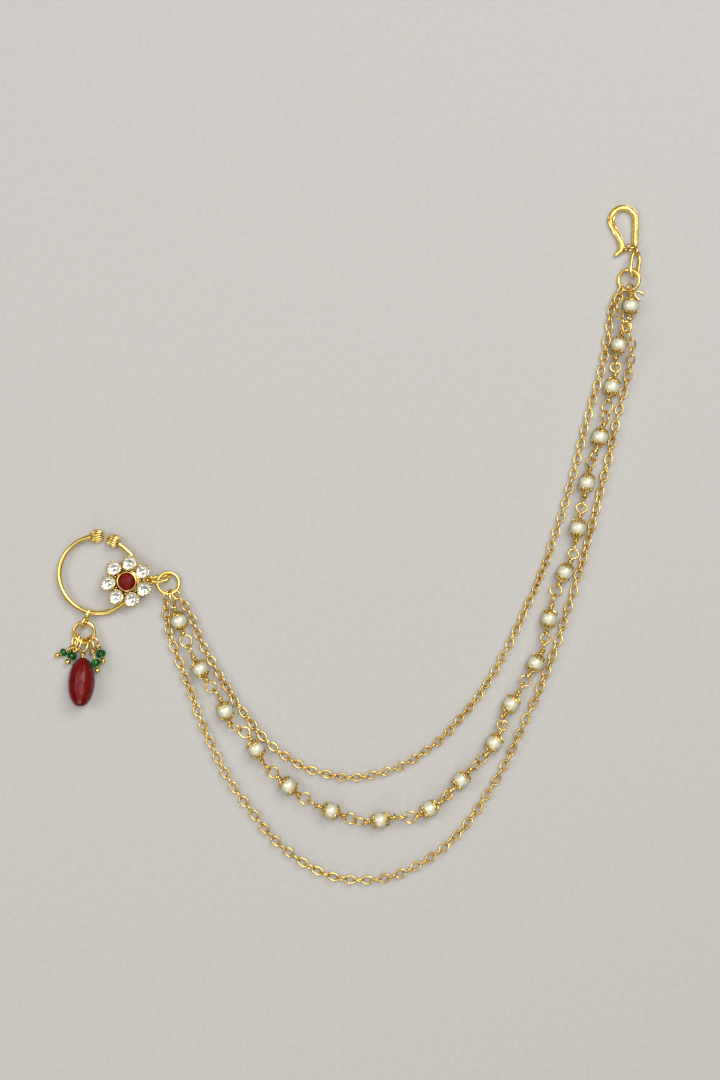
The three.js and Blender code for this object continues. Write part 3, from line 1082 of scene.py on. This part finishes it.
@dataclass
class JumpRing:
    """A round ring of wire, butted shut with a hairline seam."""

    node: str
    radius: float = 2.6
    wire: float = 0.39
    slope: tuple[float, float] = (0.0, 0.0)
    seam: float = 200.0

    def build(self) -> None:
        """Makes the ring in its node's place."""
        normal = unit(vec(-self.slope[0], -self.slope[1], 1))
        first = unit(np.cross(vec(0, 1, 0), normal))
        basis = np.array([first, np.cross(normal, first), normal])
        turn = np.radians(self.seam + np.linspace(0.6, 359.4, 90))
        path = self.radius * np.column_stack([np.cos(turn), np.sin(turn), 0 * turn])
        scale = np.ones(len(path))
        scale[[0, -1]] = 0.93
        ring = sweep(path, round_section(self.wire, 14), scale=scale)
        ring = ring.placed(basis, middle(self.node))
        make_piece(f"wire_{self.node}", [ring], [Finish.WIRE_GOLD], [self.node], 60)


@dataclass
class OvalLink:
    """A soldered oval link between two places."""

    node: str
    start: tuple[float, float, float]
    end: tuple[float, float, float]
    roll: float
    half_width: float = 1.3
    wire: float = 0.38

    def build(self) -> None:
        """Makes the link in its node's place."""
        a, b = np.array(self.start), np.array(self.end)
        half = float(np.linalg.norm(b - a)) / 2
        path = oval(half, self.half_width, 56, 1.5)
        lumps = 1 + 0.1 * np.exp(-(((np.arange(56) - 14) / 1.6) ** 2))
        ring = sweep(path, round_section(self.wire, 14), closed=True, scale=lumps)
        ring = ring.placed(aim(b - a, self.roll), (a + b) / 2)
        make_piece(f"soldered_{self.node}", [ring], [Finish.WIRE_GOLD], [self.node])


# ---- The pearl strand -----------------------------------------------------------------------


@dataclass
class PearlStrand:
    """Pearls on wrapped wires, each between two openwork caps, looped end to end."""

    headings: tuple[float, ...] = (
        *(-72, -59, -68, -64, -40, -21, 10, 31, 48, 58),
        *(57, 61, 79, 63, 81, 79, 73, 76, 76, 88),
    )
    rolls: tuple[tuple[float, float], ...] = (
        *((75, 0), (70, 5), (90, 55), (-15, 90), (5, 0), (85, -40), (45, 90), (0, 50)),
        *((-40, 45), (-45, 0), (90, 90), (0, 90), (0, 75), (-10, 0), (90, 0), (90, -40)),
        *((50, 50), (-35, 0), (90, 0), (90, 55)),
    )
    pearl: float = 2.0
    bore: float = 0.3
    wire: float = 0.23
    neck: float = 3.6
    loop_width: float = 1.36
    least_loop: float = 1.15
    first_end: tuple[float, float, float] = (-43.1, -11.4, 1.6)
    last_end: tuple[float, float, float] = (67.1, 64.0, 1.75)
    first_half: float = 2.1
    last_half: float = 1.3
    last_neck: float = 2.95
    cap_petals: int = 6
    seed: int = 11
    random: np.random.Generator = field(init=False)

    def __post_init__(self) -> None:
        """Seeds the small differences between one hand-made wire and the next."""
        self.random = np.random.default_rng(self.seed)

    def place(self, index: int) -> np.ndarray:
        """A pearl's centre."""
        return middle(f"pearl_{index + 1:02d}")

    def along(self, index: int) -> np.ndarray:
        """The way that a pearl's wire runs."""
        turn = math.radians(self.headings[index])
        return vec(math.cos(turn), math.sin(turn), 0)

    def pearl_shell(self, index: int) -> Shell:
        """A pearl, a little out of round, with its drilled hole.

        Args:
            index: Which pearl, from 0.

        Returns:
            The pearl in place.
        """
        turns = np.linspace(-math.pi / 2 + 0.16, math.pi / 2 - 0.16, 22)
        squeeze = 1 + self.random.uniform(-0.02, 0.02)
        profile = [(self.pearl * squeeze * math.sin(t), self.pearl * math.cos(t)) for t in turns]
        profile = [(-1.85, self.bore), *profile, (1.85, self.bore)]
        return lathe(profile, 40, ring=True).placed(aim(self.along(index)), self.place(index))

    def cap(self) -> list[Shell]:
        """An openwork cap on the +X side: a collar, arched petals and a granule on each tip.

        Returns:
            The cap's shells, for a pearl at the origin.
        """
        collar = [(2.02, 0), (2.04, 0.66), (2.16, 0.76), (2.3, 0.66), (2.48, 0.5), (2.8, 0.44)]
        parts = [lathe([*collar, (2.86, 0.3), (2.86, 0)], 24)]
        step = 2 * math.pi / self.cap_petals
        first = self.random.uniform(0, step)
        t = np.arange(18) * 2 * math.pi / 18
        for petal in range(self.cap_petals):
            heading = first + petal * step
            bend = self.random.uniform(-1.5, 2.5)
            lean = np.radians(35 + bend - 17.5 * np.cos(t))
            turn = heading + 0.46 * step * np.sin(t) * (1 - 0.25 * np.cos(t))
            over = 2.17 + 0.02 * (1 - np.cos(t))
            out = over * np.sin(lean)
            path = np.column_stack([over * np.cos(lean), out * np.cos(turn), out * np.sin(turn)])
            parts.append(sweep(path, round_section(0.18, 8), closed=True, start_up=vec(1, 0, 0)))
            parts.append(self.granule(0.24, 2.24, 53 + bend, heading))
            parts.append(self.granule(0.22, 2.2, 46, heading + step / 2))
            parts.append(self.granule(0.19, 2.2, 33, heading))
        return parts

    @staticmethod
    def granule(radius: float, over: float, lean: float, turn: float) -> Shell:
        """A granule near the pearl's face.

        Args:
            radius: Its radius.
            over: How far it lies from the pearl's centre.
            lean: Angle from the wire, in degrees.
            turn: Angle round the wire, in radians.

        Returns:
            The granule.
        """
        c, s = math.cos(math.radians(lean)), math.sin(math.radians(lean))
        return ball(radius, over * vec(c, s * math.cos(turn), s * math.sin(turn)), 9, 7)

    def wraps(self, reach: float) -> Shell:
        """The wire's turns behind a cap on the +X side, as far as the loop, with a cut end.

        Args:
            reach: Where the loop starts, from the pearl's centre.

        Returns:
            The turns, for a pearl at the origin.
        """
        start, length = 2.9, reach - 2.9 + 0.08
        turns = 2.3 if length > 0.6 else 1.2
        t = np.linspace(0, 1, int(turns * 22))
        angle = 2 * math.pi * turns * t + self.random.uniform(0, 6)
        flick = 0.34 * np.clip((t - 0.9) / 0.1, 0, 1) ** 1.5
        coil = 0.48 + 0.04 * np.sin(5 * t) + flick
        path = np.column_stack([start + length * t, coil * np.cos(angle), coil * np.sin(angle)])
        return sweep(path, round_section(self.wire * 0.92, 9), start_up=vec(1, 0, 0))

    def loop(self, start: np.ndarray, towards: np.ndarray, half: float, roll: float) -> Shell:
        """A hand-bent wire eye that leaves the neck.

        Args:
            start: Where the neck ends.
            towards: Where the eye points.
            half: Half of the eye's length.
            roll: Turn of its plane about its length, in degrees.

        Returns:
            The eye in place.
        """
        width = min(self.loop_width, 1.12 * half) * self.random.uniform(0.9, 1.06)
        pinch, skew = self.random.uniform(0, 0.9), self.random.uniform(-0.2, 0.2)
        path = eye_path(2 * half, width, pinch, skew)
        wire = sweep(path, round_section(self.wire * 1.06, 12))
        return wire.placed(aim(towards - start, roll), start)

    def pin(self, index: int) -> list[Shell]:
        """Everything on one pearl's wire: the rod, both caps, both wraps and both loops.

        Args:
            index: Which pearl, from 0.

        Returns:
            The wire's shells in place.
        """
        last = len(self.headings) - 1
        at, way = self.place(index), self.along(index)
        parts = []
        for side in (1, -1):
            reach = self.last_neck if index == last and side > 0 else self.neck
            basis = aim(way * side)
            core = [(0, 0), (0, self.wire), (reach, self.wire), (reach, 0)]
            ends = [*self.cap(), self.wraps(reach), lathe(core, 10)]
            parts += [shell.placed(basis, at) for shell in ends]
            start = at + way * side * reach
            roll = self.rolls[index][1 if side > 0 else 0]
            other = index + side
            if 0 <= other <= last:
                target = self.place(other) - self.along(other) * side * self.neck
                distance = float(np.linalg.norm(target - start))
                half = max((distance + 2 * self.wire + 0.06) / 4, self.least_loop)
                parts.append(self.loop(start, target, half, roll * side))
                continue
            end, half = (
                (self.last_end, self.last_half) if side > 0 else (self.first_end, self.first_half)
            )
            start = vec(start[0], start[1], end[2])
            parts.append(self.loop(start, np.array(end), half, roll))
        return parts

    def build(self) -> None:
        """Makes each pearl, and each pair's wires as one piece."""
        for index in range(len(self.headings)):
            number = f"{index + 1:02d}"
            pearl, nodes = self.pearl_shell(index), [f"pearl_{number}"]
            make_piece(f"glass_pearl_{number}", [pearl], [Finish.PEARL], nodes)
        for index in range(0, len(self.headings), 2):
            pair = f"{index + 1:02d}_{index + 2:02d}"
            shells = self.pin(index) + self.pin(index + 1)
            nodes = [f"pearl_pins_{pair}"]
            make_piece(f"capped_wires_{pair}", shells, [Finish.CAST_GOLD], nodes)


# ---- The cable chains -----------------------------------------------------------------------


@dataclass
class CableChain:
    """Soldered oval links of round wire, each turned against the next."""

    node: str
    route: Sequence[tuple[float, ...]]
    pitch: float = 2.05
    half_length: float = 1.25
    half_width: float = 0.87
    wire: float = 0.235
    rest: float = 1.09
    rolls: tuple[float, float] = (-12.0, 72.0)
    seed: int = 5

    def link(self) -> Shell:
        """One link about the origin, with its solder bump.

        Returns:
            The link.
        """
        steps = 24
        lumps = np.ones(steps)
        lumps[5] = 1.14
        path = oval(self.half_length, self.half_width, steps, 1.6)
        return sweep(path, round_section(self.wire, 9), closed=True, scale=lumps)

    def build(self) -> None:
        """Lays the links along the route, every other one on edge, with slack here and there."""
        random = np.random.default_rng(self.seed)
        points = np.array([(*p[:2], p[2] if len(p) > 2 else self.rest) for p in self.route])
        places = smooth_route(points, self.pitch)
        ways = np.gradient(places, axis=0)
        phase = random.uniform(0, 6, 3)
        link = self.link()
        shells = []
        for i, (at, way) in enumerate(zip(places, ways)):
            slow = math.sin(i / 7.3 + phase[0]) + math.sin(i / 3.1 + phase[1])
            roll = self.rolls[i % 2] + 9 * slow + random.normal(0, 6)
            sway = np.cross(UP, unit(way)) * random.normal(0, 0.05)
            lean = way + np.cross(UP, way) * random.normal(0, 0.07)
            shells.append(link.placed(aim(lean, roll), at + sway))
        name = f"cable_{self.node}"
        make_piece(name, shells, [Finish.CHAIN_GOLD], [self.node], 60)


# ---- The drop cluster -----------------------------------------------------------------------


@dataclass
class Charm:
    """A glass bead on a ball-headed pin, wrapped to a loop on the pendant ring."""

    number: int
    loop: tuple[float, float, float]
    neck: tuple[float, float, float]
    tip: tuple[float, float, float]
    roll: float = 40.0
    wire: float = 0.21
    loop_width: float = 1.0
    ball_radius: float = 0.72
    bead: float = 1.25
    bead_squeeze: float = 0.8
    bead_bore: float = 0.17

    def wires(self, with_ball: bool = True) -> list[Shell]:
        """The loop, its wraps, the straight pin and the ball that ends it.

        Args:
            with_ball: Whether the pin ends in a ball.

        Returns:
            The wire's shells.
        """
        loop, neck, tip = (np.array(p) for p in (self.loop, self.neck, self.tip))
        reach = float(np.linalg.norm(neck - loop))
        length = float(np.linalg.norm(tip - neck))
        width = min(self.loop_width, reach)
        eye = sweep(oval(reach, width, 40, 1.2), round_section(self.wire * 1.15, 12), True)
        pin = lathe([(0, 0), (0, self.wire), (length, self.wire), (length, 0)], 10)
        t = np.linspace(0, 1, 66)
        turn = 2 * math.pi * 2.6 * t
        coil = np.column_stack([-0.1 + 1.05 * t, 0.49 * np.cos(turn), 0.49 * np.sin(turn)])
        wraps = sweep(coil, round_section(self.wire, 8), start_up=vec(1, 0, 0))
        basis = aim(tip - neck)
        parts = [eye.placed(aim(neck - loop, self.roll), loop), pin.placed(basis, neck)]
        parts.append(wraps.placed(basis, neck))
        if with_ball:
            parts.append(ball(self.ball_radius, tip, 24, 15))
        return parts

    def build(self) -> None:
        """Makes the pin and its green bead."""
        wires = self.wires()
        nodes = [f"green_pin_{self.number}"]
        make_piece(f"ball_pin_{self.number}", wires, [Finish.WIRE_GOLD], nodes)
        neck, tip = np.array(self.neck), np.array(self.tip)
        radius, squeeze, bore = self.bead, self.bead_squeeze, self.bead_bore
        turns = np.linspace(-math.pi / 2 + 0.3, math.pi / 2 - 0.3, 18)
        outside = [(radius * squeeze * math.sin(t), radius * math.cos(t)) for t in turns]
        edge = radius * squeeze * 0.94
        profile = [(-edge, bore), *outside, (edge, bore)]
        bead = lathe(profile, 36, ring=True)
        bead = bead.placed(aim(tip - neck), middle(f"green_bead_{self.number}"))
        name, nodes = f"seed_bead_{self.number}", [f"green_bead_{self.number}"]
        make_piece(name, [bead], [Finish.GREEN], nodes)


@dataclass
class RedDrop:
    """The faceted oval stone, half drilled, on its own wrapped wire."""

    at: tuple[float, float, float] = (-64.4, -32.75, 2.8)
    loop: tuple[float, float, float] = (-63.99, -24.08, 1.48)
    neck: tuple[float, float, float] = (-64.1, -25.55, 1.9)
    half_length: float = 5.8
    half_width: float = 3.15
    half_height: float = 2.7
    facets: int = 10
    edge_wear: float = 0.22
    drilled: float = 0.35
    wire_roll: float = 34.0
    rows: tuple[tuple[float, float], ...] = (
        *((0.0, 0.3), (0.05, 0.52), (0.15, 0.78), (0.3, 0.96), (0.5, 1.03)),
        *((0.7, 0.95), (0.85, 0.76), (0.95, 0.48), (1.0, 0.2)),
    )

    def stone(self) -> Shell:
        """The stone: long flats from end to end, crossed by rows, with their edges worn.

        Returns:
            The stone in place.
        """
        length = 2 * self.half_length
        sides = [
            (share * length - self.half_length, factor * self.half_width)
            for share, factor in self.rows
        ]
        profile = [(sides[0][0], 0.0), *sides, (sides[-1][0], 0.0)]
        body = softened(lathe(profile, self.facets), self.edge_wear)
        body.points[:, 2] *= self.half_height / self.half_width
        at = np.array(self.at)
        return body.placed(aim(np.array(self.neck) - at), at)

    def build(self) -> None:
        """Makes the stone and its wire."""
        make_piece("ruby_drop", [self.stone()], [Finish.RUBY], ["red_drop"], 24)
        at, neck = np.array(self.at), np.array(self.neck)
        tip = tuple(neck + self.drilled * (at - neck))
        hanger = Charm(0, self.loop, self.neck, tip, self.wire_roll, loop_width=1.14)
        wire = hanger.wires(with_ball=False)
        make_piece("ruby_drop_wire", wire, [Finish.WIRE_GOLD], ["red_drop_pin"])


# ---- The hook -------------------------------------------------------------------------------


@dataclass
class HairHook:
    """A teardrop hook of grooved strip, with a curled tip, three granules and an eye."""

    level: float = 0.78
    tip: tuple[tuple[float, float], ...] = (
        *((63.65, 69.65), (64.4, 70.2), (65.05, 70.9), (65.15, 71.8), (64.8, 73.2)),
    )
    bow: tuple[float, float, float] = (65.6, 78.15, 2.9)
    bow_turns: tuple[float, float] = (208.0, -8.0)
    arm: tuple[tuple[float, float], ...] = ((68.5, 76.3), (68.4, 73.8), (68.4, 71.4))
    eye: tuple[float, float, float] = (68.65, 70.47, 1.42)
    eye_radius: float = 1.12
    eye_wire: float = 0.26
    half_section: Profile = (
        *((0.0, 0.40), (0.14, 0.42), (0.28, 0.62), (0.42, 0.68)),
        *((0.53, 0.5), (0.65, 0.46), (0.71, 0.2)),
    )
    granules: tuple[tuple[float, ...], ...] = (
        *((66.75, 71.75, 1.3, 0.64), (66.15, 70.95, 1.0, 0.42), (67.2, 70.75, 1.1, 0.46)),
    )
    bridge: tuple[tuple[float, ...], ...] = (
        *((65.2, 71.5, 0.8), (66.5, 71.35, 0.8), (68.2, 71.5, 0.8)),
    )
    bridge_wire: float = 0.3

    def section(self) -> np.ndarray:
        """The strip's section: two raised edges on both faces with a groove between them.

        Returns:
            Corners, as (sideways, upwards).
        """
        half, widest = self.half_section, self.half_section[-1][0]
        right = [*half, (widest, 0.0), *((x, -y) for x, y in reversed(half))]
        left = [(-x, y) for x, y in reversed(right) if x > 0.01]
        return np.array([*right, *left])[::-1]

    def strip(self) -> Shell:
        """The strip from its thin curled tip round the bow to the eye.

        Returns:
            The strip in place.
        """
        x, y, radius = self.bow
        turn = np.radians(np.linspace(*self.bow_turns, 13))
        bow = np.column_stack([x + radius * np.cos(turn), y + radius * np.sin(turn)])
        flat = np.vstack([self.tip, bow, self.arm])
        route = np.column_stack([flat, np.full(len(flat), self.level)])
        path = smooth_route(route, 0.3)
        share = np.linspace(0, 1, len(path))
        taper = np.clip(0.68 + share / 0.2, 0.68, 1) * np.clip(0.6 + (1 - share) / 0.12, 0.6, 1)
        bulge = 1 + 0.06 * np.sin(share * math.pi) ** 2
        twist = 0.55 * np.exp(-(((share - 0.33) / 0.07) ** 2))
        return sweep(path, self.section(), scale=taper * bulge, start_up=UP, twist=twist)

    def build(self) -> None:
        """Makes the hook with its granules and eye."""
        circle = oval(self.eye_radius, self.eye_radius, 40)
        ring = sweep(circle, round_section(self.eye_wire, 12), closed=True)
        upright = np.array([[0, 1, 0], [0, 0, 1], [1, 0, 0]], float)
        parts = [self.strip(), ring.placed(upright, np.array(self.eye))]
        parts += [ball(radius, vec(x, y, z)) for x, y, z, radius in self.granules]
        bridge = smooth_route(np.array(self.bridge), 0.3)
        parts.append(sweep(bridge, round_section(self.bridge_wire, 10)))
        make_piece("grooved_hair_hook", parts, [Finish.CAST_GOLD], ["hair_hook"])


@dataclass
class CutLink:
    """The opened stub of a chain link left on the ring."""

    level: float = 0.32
    wire: float = 0.22
    points: tuple[tuple[float, float], ...] = (
        *((70.6, 60.1), (70.0, 60.75), (69.0, 61.0), (68.4, 60.3), (69.0, 59.4), (69.9, 58.9)),
    )

    def build(self) -> None:
        """Makes the stub."""
        route = np.array([(x, y, self.level) for x, y in self.points])
        path = smooth_route(route, 0.2)
        share = np.minimum(np.arange(len(path)), np.arange(len(path))[::-1])
        scale = np.clip(0.6 + 0.25 * share, 0, 1)
        stub = sweep(path, round_section(self.wire, 10), scale=scale)
        make_piece("opened_link", [stub], [Finish.CHAIN_GOLD], ["cut_link"])


# ---- The studio -----------------------------------------------------------------------------


@dataclass
class Softbox:
    """A square lamp with a diffuser."""

    name: str
    at: tuple[float, float, float]
    size: float
    power: float
    colour: str = "#ffffff"

    def build(self, target: np.ndarray) -> None:
        """Hangs the lamp, turned to the jewel.

        Args:
            target: Where it points, in metres.
        """
        lamp = bpy.data.lights.new(self.name, "AREA")
        lamp.size = self.size
        lamp.energy = self.power
        lamp.color = linear(self.colour)[:3]
        hung = bpy.data.objects.new(self.name, lamp)
        hung.location = self.at
        way = Vector(target.tolist()) - Vector(self.at)
        hung.rotation_euler = way.to_track_quat("-Z", "Y").to_euler()
        hung.visible_camera = False
        bpy.context.collection.objects.link(hung)


@dataclass
class Studio:
    """The floor, the lamps, the sky and the camera straight above."""

    view: tuple[float, float] = (0.00228, 0.0012)
    distance: float = 0.45
    height: float = 0.2592
    focus: float = 0.0015
    sensor: float = 36.0
    floor_size: float = 6.0
    sky_strength: float = 0.8
    sky_tones: tuple[tuple[float, str], ...] = (
        *((0.0, "#908d89"), (0.3, "#2e2821"), (0.72, "#a39f99"), (0.9, "#ffffff")),
    )
    lamps: tuple[Softbox, ...] = (
        Softbox("ceiling_panel", (0.1, 0.13, 0.8), 0.24, 1.5),
        Softbox("key_softbox", (0.3, 0.38, 0.58), 0.36, 2.0),
        Softbox("fill_softbox", (-0.46, 0.06, 0.46), 0.3, 0.9),
        Softbox("low_strip", (-0.1, -0.55, 0.3), 0.22, 0.5, "#fff3e2"),
    )

    def floor(self) -> None:
        """Lays the pale card."""
        half = self.floor_size / 2
        mesh = bpy.data.meshes.new("pale_floor")
        corners = [(-half, -half, 0), (half, -half, 0), (half, half, 0), (-half, half, 0)]
        mesh.from_pydata(corners, [], [(0, 1, 2, 3)])
        mesh.materials.append(Finish.BOARD.material())
        card = bpy.data.objects.new("pale_floor", mesh)
        bpy.context.collection.objects.link(card)

    def sky(self) -> None:
        """Fills the room with light: white ceiling, dark walls, and the far floor's tone below."""
        world = bpy.data.worlds.new("studio_room")
        bpy.context.scene.world = world
        world.use_nodes = True
        tree = world.node_tree
        place = node(tree, "ShaderNodeTexCoord").outputs["Generated"]
        height = node(tree, "ShaderNodeSeparateXYZ", inputs={"Vector": place}).outputs["Z"]
        tone = shades(tree, height, self.sky_tones)
        back = tree.nodes["Background"]
        tree.links.new(tone, back.inputs["Color"])
        back.inputs["Strength"].default_value = self.sky_strength

    def camera(self) -> None:
        """Hangs the camera straight above, with the strand's length up the frame."""
        lens = bpy.data.cameras.new("overhead_camera")
        lens.sensor_fit = "VERTICAL"
        lens.sensor_height = self.sensor
        lens.lens = self.sensor * self.distance / self.height
        lens.clip_start = 0.01
        eye = bpy.data.objects.new("overhead_camera", lens)
        eye.location = (*self.view, self.distance + self.focus)
        bpy.context.collection.objects.link(eye)
        bpy.context.scene.camera = eye

    def build(self) -> None:
        """Sets the stage."""
        self.camera()
        self.floor()
        self.sky()
        for lamp in self.lamps:
            lamp.build(vec(0, 0, 0))
        bpy.context.scene.view_settings.view_transform = "Standard"


# ---- Assembly -------------------------------------------------------------------------------

OUTER_ROUTE = (
    *((-43.96, -12.43, 1.55), (-44.3, -16.5), (-42.95, -23.0), (-39.2, -33.0), (-35.2, -44.0)),
    *((-30.4, -54.2), (-23.7, -64.1), (-15.6, -73.2), (-5.0, -79.4), (6.6, -80.3)),
    *((16.8, -76.6), (25.6, -69.7), (32.6, -60.4), (38.0, -50.8), (43.4, -39.3)),
    *((48.3, -27.5), (51.9, -16.5), (55.4, -5.0), (58.6, 7.0), (61.5, 18.8), (64.2, 30.8)),
    *((66.2, 39.0), (67.0, 43.8, 2.4), (66.9, 48.5, 4.9), (65.4, 52.6, 4.5)),
    *((63.9, 56.0, 2.8), (64.0, 58.6, 2.7), (65.2, 60.75, 2.2)),
)
INNER_ROUTE = (
    *((-41.8, -11.8, 1.35), (-38.6, -16.4), (-35.9, -22.9), (-31.0, -32.0), (-25.4, -40.7)),
    *((-18.9, -48.3), (-9.8, -53.9), (1.1, -55.8), (11.8, -53.2), (21.3, -46.9)),
    *((29.5, -38.0), (36.4, -27.2), (42.1, -15.5), (47.0, -4.0), (51.0, 8.0), (54.2, 19.5)),
    *((57.2, 31.3), (60.0, 41.0), (61.8, 49.5), (62.8, 57.0), (64.83, 61.06, 1.1)),
)


def main() -> None:
    """Builds the jewel from hoop to hook, then the studio."""
    logging.basicConfig(level=logging.INFO, format="%(message)s")
    Studio().build()
    hoop = NoseHoop()
    hoop.build()
    GemFlower().build(hoop)
    JumpRing("nose_side_ring", slope=(-0.2, -0.1)).build()
    JumpRing("pendant_ring", 2.48, 0.42, (0.0, 0.1), seam=80.0).build()
    JumpRing("hook_side_ring", 2.56, 0.44, (0.42, 0.0)).build()
    OvalLink("flower_link", (-48.0, -8.4, 1.6), (-43.4, -7.85, 1.7), -62, 1.26, 0.42).build()
    OvalLink("hook_link", (68.7, 70.45, 1.4), (67.95, 64.45, 1.95), -34).build()
    Charm(1, (-66.03, -22.97, 1.25), (-66.5, -24.55, 1.25), (-70.4, -26.5, 0.75), bead=0.97).build()
    Charm(2, (-65.4, -23.5, 1.2), (-65.7, -24.9, 1.35), (-67.9, -28.1, 1.1)).build()
    Charm(3, (-62.45, -23.7, 1.37), (-61.9, -25.1, 1.8), (-60.4, -29.95, 3.5)).build()
    Charm(4, (-61.55, -23.03, 1.35), (-60.6, -24.15, 1.45), (-59.4, -27.85, 1.0)).build()
    RedDrop().build()
    PearlStrand().build()
    CableChain("outer_chain", OUTER_ROUTE, seed=5).build()
    CableChain("inner_chain", INNER_ROUTE, 1.83, 1.14, 0.84, 0.22, seed=8).build()
    HairHook().build()
    CutLink().build()


if __name__ == "__main__":
    main()
